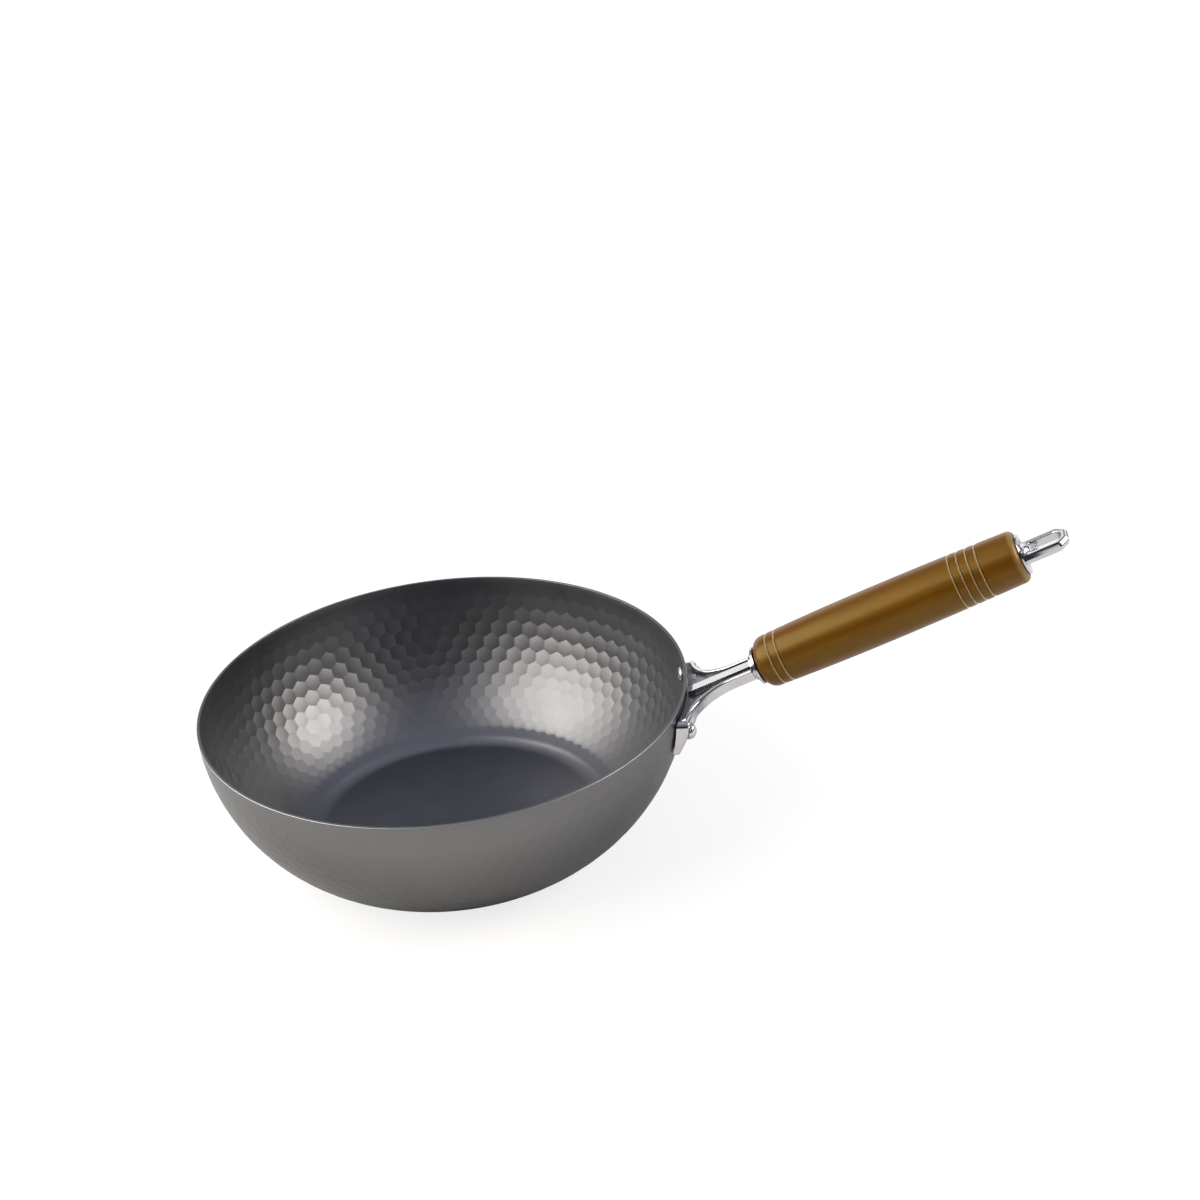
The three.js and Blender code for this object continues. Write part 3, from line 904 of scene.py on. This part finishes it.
def joined(base, added, cut):
    for operation, tools in (("UNION", added), ("DIFFERENCE", cut)):
        for tool in tools:
            step = base.modifiers.new(tool.name, "BOOLEAN")
            step.operation = operation
            step.object = tool
            step.solver = "EXACT"
    shown = base.evaluated_get(bpy.context.evaluated_depsgraph_get())
    mesh = bpy.data.meshes.new_from_object(shown)
    for tool in (base, *added, *cut):
        bpy.data.objects.remove(tool)
    bm = bmesh.new()
    bm.from_mesh(mesh)
    bpy.data.meshes.remove(mesh)
    close_up(bm)
    drop_straight_points(bm)
    for edge in bm.edges:
        edge.smooth = edge.is_manifold and edge.calc_face_angle() < JOINED_SHARP
    print("joined:", len(bm.faces), "faces,", loose_edges(bm), "loose edges")
    return bm


def even_shading(made):
    shading = made.modifiers.new("even_shading", "WEIGHTED_NORMAL")
    shading.keep_sharp = True
    return made


print("edges over", round(math.degrees(JOINED_SHARP)), "degrees stay crisp on a casting")

# %% Bracket, joined into one casting
COLLAR_RADIUS = 7.5
COLLAR_EDGE = 0.4
COLLAR_STEPS = 48
ROD_HOLE = 2.3
ROD_SOCKET = 8.0
SOCKET_STEPS = 24
CUT_PAST = 1.0
RIVET_SEAT = 7.5
BOSS_RADIUS = 4.9
BOSS_START = 2.0
BOSS_EDGE = 0.25
BOSS_STEPS = 36
ROOM_START = RIVET_SEAT + 0.05
ROOM_END = RIVET_SEAT + 6.0
ROOM_RADIUS = BOSS_RADIUS + 0.2


def make_bracket():
    base = object_from(neck, "neck_tool", handle_frame)
    collar_start = NECK_LENGTH - COLLAR_THICKNESS - COLLAR_EDGE
    collar = bar_profile(collar_start, NECK_LENGTH, COLLAR_RADIUS, COLLAR_EDGE)
    socket = bar_profile(NECK_LENGTH - ROD_SOCKET, NECK_LENGTH + CUT_PAST, ROD_HOLE)
    boss = bar_profile(BOSS_START, RIVET_SEAT, BOSS_RADIUS, BOSS_EDGE)
    room = bar_profile(ROOM_START, ROOM_END, ROOM_RADIUS)
    added = [object_from(plate, "plate_tool", Matrix.Identity(4))]
    added.append(turned_tool("collar_tool", collar, COLLAR_STEPS, handle_frame))
    cut = [turned_tool("socket_tool", socket, SOCKET_STEPS, handle_frame)]
    for side in (1, -1):
        added.append(turned_tool("boss_tool", boss, BOSS_STEPS, rivet_frame(side)))
        cut.append(turned_tool("room_tool", room, BOSS_STEPS, rivet_frame(side)))
    return even_shading(object_from(joined(base, added, cut), "cast_bracket", to_metres))


dress(make_bracket(), "handle_bracket", chrome)

# %% [markdown]
# ## Rivets
# A rivet goes through the wall and the bracket. Its head inside the bowl is low and wide, and the
# end outside is hammered into a dome. Both are round, so one profile spun about the rivet's own
# axis makes each of them whole.

# %% Two rivets
RIVET_HEAD = 4.4
RIVET_SHANK = 2.5
RIVET_DOME = 3.0
RIVET_INNER_DOME = 1.7
RIVET_STEPS = 40
DOME_STEPS = 10
wall_hollow = RIVET_HEAD**2 / (2.0 * wall_radius) + RIVET_HEAD**2 / (2.0 * outside_radius_at(RIVET_Z))


def dome(base, height):
    turns = [math.pi / 2.0 * i / DOME_STEPS for i in range(DOME_STEPS + 1)]
    return [(base + height * math.cos(turn), RIVET_HEAD * math.sin(turn)) for turn in turns]


def make_rivet(name, side):
    inside = -SHEET - SEAT_GAP - wall_hollow
    outside = RIVET_SEAT + SEAT_GAP
    profile = dome(inside, -RIVET_INNER_DOME) + [(inside, RIVET_SHANK), (outside, RIVET_SHANK)]
    profile += reversed(dome(outside, RIVET_DOME))
    return even_shading(turned_tool(name, profile, RIVET_STEPS, to_metres @ rivet_frame(side)))


dress(make_rivet("near_rivet", -1), "rivet_right", steel)
dress(make_rivet("far_rivet", 1), "rivet_left", steel)

# %% [markdown]
# ## Front ferrule
# A thin plated disc sits between the neck's collar and the wood, so that the end grain isn't
# crushed. It is a closed profile with eased edges, spun about the handle.

# %% Ferrule
FERRULE_RADIUS = 10.9
FERRULE_EDGE = 0.5
BACK_EDGE = 0.2
FERRULE_STEPS = 72


def make_ferrule():
    end = ferrule_start + FERRULE_THICKNESS
    front = rounded(ferrule_start + FERRULE_EDGE, FERRULE_RADIUS - FERRULE_EDGE, FERRULE_EDGE, 180.0, 90.0)
    back = rounded(end - BACK_EDGE, FERRULE_RADIUS - BACK_EDGE, BACK_EDGE, 90.0, 0.0, steps=2)
    profile = [(ferrule_start, ROD_HOLE), *front, *back, (end, ROD_HOLE)]
    return even_shading(turned_tool("front_disc", profile, FERRULE_STEPS, handle_place, True))


dress(make_ferrule(), "front_ferrule", chrome)

# %% [markdown]
# ## Wood: the finish of the grip
# The grip is stained a yellow brown and oiled to a satin sheen. Fibres run along the handle,
# so the coordinates are first turned to lie along it and then squeezed, which draws a plain noise
# out into streaks. In each cut ring a painted highlight makes one flank pale, and a painted shade
# makes the other flank dark. A mark on the faces says which is which: 1 for the lit flank and -1
# for the shaded one. A small part of 1 paints a highlight on the round of the tail.

# %% Wood finish
WOOD_TINTS = ((0.122, 0.044, 0.0003), (0.148, 0.058, 0.0006))
STREAK_TINT = (0.084, 0.029, 0.0003)
# Painted highlight on the lit flank of each ring, and painted shade on the shaded flank.
LIT_FLANK_PAINTED_HIGHLIGHT = (0.82, 0.61, 0.30)
SHADED_FLANK_PAINTED_SHADE = (0.016, 0.007, 0.001)
WOOD_GLINT = (1.0, 0.82, 0.32, 1.0)
FIBRE_SQUEEZE = (0.06, 1.0, 1.0)


def along_fibres(tree, place):
    turned = set_inputs(add_node(tree, "ShaderNodeMapping"), Rotation=(0.0, HANDLE_RISE, 0.0))
    squeezed = set_inputs(add_node(tree, "ShaderNodeMapping"), Scale=FIBRE_SQUEEZE)
    tree.links.new(place, turned.inputs["Vector"])
    tree.links.new(turned.outputs["Vector"], squeezed.inputs["Vector"])
    return squeezed.outputs["Vector"]


def make_wood():
    finish, tree, shader, place = new_finish("stained_wood")
    fibres = along_fibres(tree, place)
    stain = mix_colours(tree, add_clouds(tree, place, scale=38.0), *WOOD_TINTS)
    streaks = mix_colours(tree, add_clouds(tree, fibres, scale=330.0, highest=0.55), stain, STREAK_TINT)
    ring = add_mark(tree, "cut_ring")
    dark_flank = set_inputs(add_node(tree, "ShaderNodeMapRange"), From_Min=0.0, From_Max=-1.0)
    tree.links.new(ring, dark_flank.inputs["Value"])
    # Painted light: a highlight on one flank of each ring and on the tail's round, shade on the other
    # flank.
    pale = mix_colours(tree, ring, streaks, LIT_FLANK_PAINTED_HIGHLIGHT)
    cut = mix_colours(tree, dark_flank.outputs["Result"], pale, SHADED_FLANK_PAINTED_SHADE)
    tree.links.new(cut, shader.inputs["Base Color"])
    sheen = add_clouds(tree, fibres, scale=420.0, lowest=0.31, highest=0.38)
    tree.links.new(sheen, shader.inputs["Roughness"])
    set_inputs(shader, Specular_IOR_Level=0.58, Specular_Tint=WOOD_GLINT)
    add_grain_bump(tree, shader, fibres, scale=1500.0, strength=0.10, depth=0.08 * MM)
    return finish


wood = make_wood()
print("finish:", wood.name)

# %% [markdown]
# ## The grip
# It is turned on a lathe: round at the front, a gentle belly, and six narrow rings cut with the
# corner of a chisel. The profile follows that work, and a spin does what the lathe does. The faces
# of a ring keep sharp edges and carry the mark that the finish reads.

# %% Belly and rings of the grip
GRIP_FRONT = 14.6
GRIP_BELLY = 16.0
GRIP_REAR = 14.8
BELLY_AT = 68.0
RING_PITCH = 5.2
FRONT_RING = 10.2
REAR_RING = 21.2
rings = [FRONT_RING + RING_PITCH * i for i in (0, 1)]
rings += [GRIP_LENGTH - REAR_RING - RING_PITCH * i for i in (3, 2, 1, 0)]


def grip_radius(station):
    end, span = (GRIP_FRONT, BELLY_AT) if station < BELLY_AT else (GRIP_REAR, GRIP_LENGTH - BELLY_AT)
    return GRIP_BELLY - (GRIP_BELLY - end) * ((station - BELLY_AT) / span) ** 2


print("rings are cut at", [round(ring, 1) for ring in rings], "mm along the wood")

# %% Profile of the grip
NOSE_ROUND = 7.0
TAIL_ROUND = 3.5
GRIP_BORE = 2.5
RING_HALF = 0.55
RING_DEPTH = 0.6
RING_CUT = ((-1.7, 0.0), (-1.15, 0.0), (-0.4, 1.0), (-0.2, 1.0), (1.2, 0.0), (1.8, 0.0))
RING_CLEAR = 1.5
PLAIN_START = 20
PLAIN_STEP = 4
tail_at = GRIP_LENGTH - TAIL_ROUND


def grip_side():
    side = []
    for ring in rings:
        for along, deep in RING_CUT:
            station = ring + along * RING_HALF
            side.append((station, grip_radius(station) - deep * RING_DEPTH))
    for station in range(PLAIN_START, int(tail_at), PLAIN_STEP):
        if all(abs(station - ring) > RING_CLEAR for ring in rings):
            side.append((station, grip_radius(station)))
    return sorted(side)


def grip_profile():
    nose = rounded(NOSE_ROUND, grip_radius(NOSE_ROUND) - NOSE_ROUND, NOSE_ROUND, 180.0, 90.0, steps=10)
    tail = rounded(tail_at, grip_radius(tail_at) - TAIL_ROUND, TAIL_ROUND, 90.0, 0.0, steps=8)
    return [(0.0, GRIP_BORE), *nose, *grip_side(), *tail, (GRIP_LENGTH, GRIP_BORE)]


print("the grip's profile has", len(grip_profile()), "points")

# %% Grip, turned and marked
GRIP_STEPS = 96
# Strength of the painted highlight on the round of the tail.
TAIL_PAINTED_HIGHLIGHT = 0.16
DARK_FROM = -0.25 * RING_HALF


def mark_rings(grip):
    mark = grip.faces.layers.float.new("cut_ring")
    for face in grip.faces:
        middle = face.calc_center_median()
        round_tail = (middle.x - GRIP_LENGTH) / TAIL_ROUND + 1.0
        # Painted highlight on the round of the tail.
        if round_tail > 0.0:
            face[mark] = TAIL_PAINTED_HIGHLIGHT * math.sin(math.pi * round_tail)
        beside = min((middle.x - ring for ring in rings), key=abs)
        if abs(beside) < RING_HALF and middle.yz.length > GRIP_BORE + NEAR:
            # Painted highlight on the flank facing the light, painted shade on the other.
            face[mark] = -1.0 if beside > DARK_FROM else 1.0
            for edge in face.edges:
                edge.smooth = False


def make_grip():
    grip = bmesh.new()
    turn_profile(grip, grip_profile(), GRIP_STEPS, closed=True)
    close_up(grip)
    mark_rings(grip)
    return object_from(grip, "turned_grip", handle_place @ Matrix.Translation((grip_start, 0.0, 0.0)))


dress(make_grip(), "wooden_grip", wood)

# %% [markdown]
# ## The hanging eye
# The eye is a flat bar with a long slot, on a trumpet-shaped foot that bears on the wood. The bar
# starts as a block: the tip is chamfered, and both flats are drawn in a little, which gives the
# sides the taper that lets a casting out of its mould. The flats are then inset by the width of
# the strip, and the two insets bridged to open the slot. Edges are eased, and the spun foot joined.

# %% Block of the eye
EYE_LENGTH = 26.7
EYE_WIDTH = 18.6
EYE_THICKNESS = 5.6
EYE_CHAMFER = 4.5
EYE_TAPER = 1.1
FLAT_FACING = 0.9
UPRIGHT_RISE = 1.0
eye_end = eye_start + EYE_LENGTH


def upright(edge, wanted):
    first, second = (vertex.co for vertex in edge.verts)
    return abs(first.z - second.z) > UPRIGHT_RISE and wanted((first + second) / 2.0)


def flats_of(bar):
    bar.normal_update()
    return [face for face in bar.faces if abs(face.normal.z) > FLAT_FACING]


def make_eye_block():
    block = bmesh.new()
    size = Matrix.Diagonal((EYE_LENGTH, EYE_WIDTH, EYE_THICKNESS, 1.0))
    middle = Matrix.Translation((eye_start + EYE_LENGTH / 2.0, 0.0, 0.0))
    bmesh.ops.create_cube(block, size=1.0, matrix=middle @ size)
    tip = [edge for edge in block.edges if upright(edge, lambda at: at.x > eye_end - NEAR)]
    bevel_edges(block, tip, EYE_CHAMFER, segments=1)
    bmesh.ops.bisect_plane(block, geom=everything_in(block), plane_co=(0.0, 0.0, 0.0),
                           plane_no=(0.0, 0.0, 1.0))
    narrower = (1.0 - EYE_TAPER / EYE_LENGTH, 1.0 - 2.0 * EYE_TAPER / EYE_WIDTH, 1.0)
    corners = {vertex for face in flats_of(block) for vertex in face.verts}
    about_foot = Matrix.Translation((-eye_start, 0.0, 0.0))
    bmesh.ops.scale(block, vec=narrower, space=about_foot, verts=list(corners))
    return block


eye_bar = make_eye_block()
print("block of the eye:", len(eye_bar.faces), "faces")

# %% Slot of the eye
EYE_STRIP = 3.7
EYE_EDGE = 1.05
SLOT_START = 4.6
SLOT_CORNER = 2.2


def open_slot(bar):
    flats = flats_of(bar)
    bmesh.ops.inset_individual(bar, faces=flats, thickness=EYE_STRIP - EYE_TAPER, use_even_offset=True)
    loops = [edge for face in flats for edge in face.edges]
    for face in flats:
        for vertex in face.verts:
            vertex.co.x = max(vertex.co.x, eye_start + SLOT_START)
    bmesh.ops.delete(bar, geom=flats, context="FACES_ONLY")
    bmesh.ops.bridge_loops(bar, edges=loops)


def in_slot(at):
    return abs(at.y) < EYE_WIDTH / 2.0 - EYE_STRIP + NEAR and at.x < eye_end - EYE_STRIP + NEAR


def is_clear_of_foot(edge):
    return min(vertex.co.x for vertex in edge.verts) > eye_start + NEAR


open_slot(eye_bar)
bevel_edges(eye_bar, [edge for edge in eye_bar.edges if upright(edge, in_slot)], SLOT_CORNER, segments=4)
close_up(eye_bar)
bevel_edges(eye_bar, sharp_edges(eye_bar, is_clear_of_foot), EYE_EDGE, segments=4)
print("bar of the eye:", len(eye_bar.faces), "faces,", loose_edges(eye_bar), "loose edges")

# %% Eye, with its foot joined on
FOOT_RADIUS = 11.5
FOOT_EDGE = 1.1
FOOT_EASE = 0.3
FLARE_LENGTH = 6.0
FLARE_RADIUS = 3.5
FLARE_STEPS = 12
FLARE_STOP = SLOT_START - 0.2
FLARE_DROP = 0.4
EYE_FOOT_STEPS = 72
EYE_HOLE_STEPS = 32


def foot_profile():
    turns = [math.pi / 2.0 * i / FLARE_STEPS for i in range(FLARE_STEPS + 1)]
    flare = [(FOOT_EDGE + (FLARE_LENGTH - FOOT_EDGE) * (1.0 - math.cos(turn)),
              FOOT_RADIUS - (FOOT_RADIUS - FLARE_RADIUS) * math.sin(turn)) for turn in turns]
    flare = [(along, radius) for along, radius in flare if along < FLARE_STOP]
    edge = rounded(FOOT_EASE, FOOT_RADIUS - FOOT_EASE, FOOT_EASE, 180.0, 90.0, steps=2)
    profile = [(0.0, 0.0), *edge, *flare, (SLOT_START, flare[-1][1] - FLARE_DROP), (SLOT_START, 0.0)]
    return [(eye_start + along, radius) for along, radius in profile]


def make_eye():
    still = Matrix.Identity(4)
    hole_profile = bar_profile(eye_start - CUT_PAST, eye_start + SLOT_START + CUT_PAST, ROD_HOLE)
    foot = turned_tool("foot_tool", foot_profile(), EYE_FOOT_STEPS, still)
    hole = turned_tool("hole_tool", hole_profile, EYE_HOLE_STEPS, still)
    bar = object_from(eye_bar, "eye_bar_tool", still)
    return even_shading(object_from(joined(bar, [foot], [hole]), "slotted_eye", handle_place))


dress(make_eye(), "hanging_eye", chrome)

# %% [markdown]
# ## The rod and its nut
# A long rod is screwed into the neck and runs through the grip. Only its threaded end shows, inside
# the slot, with the nut that pulls everything together. The thread is cut as small rings in the
# spun profile, and the nut is a six-sided ring bridged to a round hole and pulled to its height.

# %% Rod with its thread
ROD_RADIUS = 2.0
ROD_EASE = 0.3
ROD_TIP = 0.4
ROD_STEPS = 32
NUT_HEIGHT = 3.2
PAST_NUT = 1.0
THREAD_PITCH = 0.7
THREAD_DEPTH = 0.28
THREAD_TURNS = 12
rod_start = NECK_LENGTH - ROD_SOCKET + SEAT_GAP
nut_start = eye_start + SLOT_START + SEAT_GAP
rod_end = nut_start + NUT_HEIGHT + PAST_NUT


def make_rod():
    profile = [(rod_start, 0.0), (rod_start, ROD_RADIUS - ROD_EASE), (rod_start + ROD_EASE, ROD_RADIUS)]
    for turn in range(THREAD_TURNS):
        crest = rod_end - ROD_TIP - THREAD_PITCH * (THREAD_TURNS - turn)
        profile += [(crest, ROD_RADIUS), (crest + THREAD_PITCH / 2.0, ROD_RADIUS - THREAD_DEPTH)]
    profile += [(rod_end - ROD_TIP, ROD_RADIUS), (rod_end, ROD_RADIUS - ROD_TIP), (rod_end, 0.0)]
    return even_shading(turned_tool("threaded_rod", profile, ROD_STEPS, handle_place))


dress(make_rod(), "tie_rod", steel)

# %% Nut
NUT_ACROSS = 7.0
NUT_EDGE = 0.45
NUT_HOLE_STEPS = 24
NUT_TURN = math.pi / 6.0


def is_off_hole(edge):
    return min(vertex.co.xy.length for vertex in edge.verts) > ROD_HOLE + NEAR


def make_nut():
    nut = bmesh.new()
    hexagon = bmesh.ops.create_circle(nut, segments=6, radius=NUT_ACROSS / math.sqrt(3.0))["verts"]
    hole = bmesh.ops.create_circle(nut, segments=NUT_HOLE_STEPS, radius=ROD_HOLE)["verts"]
    loops = {edge for vertex in hexagon + hole for edge in vertex.link_edges}
    bmesh.ops.bridge_loops(nut, edges=list(loops))
    pull(nut, nut.faces[:], NUT_HEIGHT, True)
    close_up(nut)
    bevel_edges(nut, sharp_edges(nut, is_off_hole), NUT_EDGE, segments=2)
    seat = Matrix.Translation((nut_start, 0.0, 0.0)) @ Matrix.Rotation(math.pi / 2.0, 4, "Y")
    place = handle_place @ seat @ Matrix.Rotation(NUT_TURN, 4, "Z")
    return even_shading(object_from(nut, "rod_nut", place))


dress(make_nut(), "tie_rod_nut", steel)

# %% [markdown]
# ## Floor and light
# The pan stands on plain white. A small strong softbox far to the right and a wide one to the left
# give the two bright patches inside the bowl, and a low one brightens its outside on the left. What
# the metal sees elsewhere matters just as much: the floor and the backdrop behind it are white, the
# room on the camera's side is dark, and the space overhead is a dim blue, so the sheet between the
# patches stays dark. The floor takes the pan's shadow, and is lifted to white for the camera, the
# more so the further from the pan.

# %% Helpers for the studio
def add_ramp(tree, value, low, high):
    ramp = add_node(tree, "ShaderNodeMapRange", interpolation_type="SMOOTHSTEP")
    set_inputs(ramp, From_Min=low, From_Max=high)
    tree.links.new(value, ramp.inputs["Value"])
    return ramp.outputs["Result"]


def add_seen(tree, path):
    return add_math(tree, "MAXIMUM", path.outputs["Is Camera Ray"], path.outputs["Is Transmission Ray"])


print("what the camera sees straight on is told apart from what the metal reflects")

# %% World
OVERHEAD_NEAR = (0.23, 0.25, 0.33)
OVERHEAD_FAR = (0.54, 0.58, 0.70)
OVERHEAD_DEPTH = (-0.30, 0.40)
OVERHEAD_RISE = (0.45, 0.85)
ROOM = (0.024, 0.027, 0.038)
BACKDROP = (1.4, 1.4, 1.4)
BACKDROP_TURN = math.radians(114.5)
BACKDROP_SIDE = (-0.05, 0.35)
BACKDROP_TOP = (0.50, 0.30)
WHITE = (1.0, 1.0, 1.0)


def make_world():
    world = bpy.data.worlds.new("white_studio")
    world.use_nodes = True
    bpy.context.scene.world = world
    tree = world.node_tree
    way = add_node(tree, "ShaderNodeSeparateXYZ")
    tree.links.new(add_node(tree, "ShaderNodeTexCoord").outputs["Generated"], way.inputs["Vector"])
    x, y, z = way.outputs
    above = mix_colours(tree, add_ramp(tree, y, *OVERHEAD_DEPTH), OVERHEAD_NEAR, OVERHEAD_FAR)
    room = mix_colours(tree, add_ramp(tree, z, *OVERHEAD_RISE), ROOM, above)
    across = add_math(tree, "MULTIPLY", x, math.cos(BACKDROP_TURN))
    away = add_math(tree, "MULTIPLY", y, math.sin(BACKDROP_TURN))
    facing = add_ramp(tree, add_math(tree, "ADD", across, away), *BACKDROP_SIDE)
    behind = add_math(tree, "MULTIPLY", facing, add_ramp(tree, z, *BACKDROP_TOP))
    studio = mix_colours(tree, behind, room, BACKDROP)
    seen = add_seen(tree, add_node(tree, "ShaderNodeLightPath"))
    tree.links.new(mix_colours(tree, seen, studio, WHITE), tree.nodes["Background"].inputs["Color"])
    return world


print("world:", make_world().name)

# %% Floor finish
FLOOR_COLOUR = (0.74, 0.74, 0.74)
SEEN_COLOUR = (0.25, 0.25, 0.25)
LIFT_SEEN = 0.80
LIFT_FROM = 0.50
LIFT_TO = 1.60
LIFT_MIRRORED = 0.05


def add_distance_lift(tree):
    reach = add_node(tree, "ShaderNodeVectorMath", operation="LENGTH")
    tree.links.new(add_node(tree, "ShaderNodeTexCoord").outputs["Object"], reach.inputs[0])
    fade = add_node(tree, "ShaderNodeMapRange")
    set_inputs(fade, From_Min=LIFT_FROM, From_Max=LIFT_TO, To_Min=LIFT_SEEN, To_Max=1.0)
    tree.links.new(reach.outputs["Value"], fade.inputs["Value"])
    return fade.outputs["Result"]


def make_floor_finish():
    finish = bpy.data.materials.new("white_floor")
    finish.use_nodes = True
    tree = finish.node_tree
    tree.nodes.remove(tree.nodes["Principled BSDF"])
    path = add_node(tree, "ShaderNodeLightPath")
    straight = add_seen(tree, path)
    seen = add_math(tree, "MULTIPLY", straight, add_distance_lift(tree))
    mirrored = add_math(tree, "MULTIPLY", path.outputs["Is Glossy Ray"], LIFT_MIRRORED)
    lift = add_node(tree, "ShaderNodeEmission")
    tree.links.new(add_math(tree, "MAXIMUM", seen, mirrored), lift.inputs["Strength"])
    plain = add_node(tree, "ShaderNodeBsdfDiffuse")
    tree.links.new(mix_colours(tree, straight, FLOOR_COLOUR, SEEN_COLOUR), plain.inputs["Color"])
    both = add_node(tree, "ShaderNodeAddShader")
    tree.links.new(plain.outputs["BSDF"], both.inputs[0])
    tree.links.new(lift.outputs["Emission"], both.inputs[1])
    tree.links.new(both.outputs["Shader"], tree.nodes["Material Output"].inputs["Surface"])
    return finish


white_floor = make_floor_finish()
print("finish:", white_floor.name)

# %% Floor
FLOOR_HALF = 6.0
FLOOR_DROP = 0.4 * MM


def make_floor():
    bm = bmesh.new()
    bmesh.ops.create_grid(bm, x_segments=1, y_segments=1, size=FLOOR_HALF)
    floor = object_from(bm, "studio_floor", Matrix.Translation((0.0, 0.0, -FLOOR_DROP)))
    floor.data.materials.append(white_floor)
    return floor


white_ground = make_floor()
print("floor:", white_ground.name, "is", round(white_ground.dimensions.x, 1), "m wide")

# %% Three soft lamps
LAMPS = {
    "right_softbox": {"turn": 3.7, "rise": 33.2, "size": (0.86, 0.64), "watts": 15.4},
    "left_softbox": {"turn": 199.8, "rise": 40.6, "size": (1.70, 1.33), "watts": 34.5},
    "low_softbox": {"turn": 180.0, "rise": 8.0, "size": (0.56, 0.34), "watts": 5.5},
}
LAMP_DISTANCE = 1.6
LAMP_COLOUR = (1.0, 0.925, 0.83)


def way_to(turn, rise):
    level = math.cos(rise)
    return Vector((level * math.cos(turn), level * math.sin(turn), math.sin(rise)))


def make_lamp(name, turn, rise, size, watts):
    data = bpy.data.lights.new(name, "AREA")
    data.shape = "RECTANGLE"
    data.size, data.size_y = size
    data.energy = watts
    data.color = LAMP_COLOUR
    lamp = bpy.data.objects.new(name, data)
    bpy.context.collection.objects.link(lamp)
    lamp.location = LAMP_DISTANCE * way_to(math.radians(turn), math.radians(rise))
    lamp.rotation_euler = (-lamp.location).to_track_quat("-Z", "Y").to_euler()
    lamp.visible_camera = False
    print(name, "at", [round(side, 2) for side in lamp.location], "m")


for name, facts in LAMPS.items():
    make_lamp(name, **facts)

# %% [markdown]
# ## Finish
# The picture uses the Standard view, so that a colour shows as it is written.

# %% View transform
bpy.context.scene.view_settings.view_transform = "Standard"
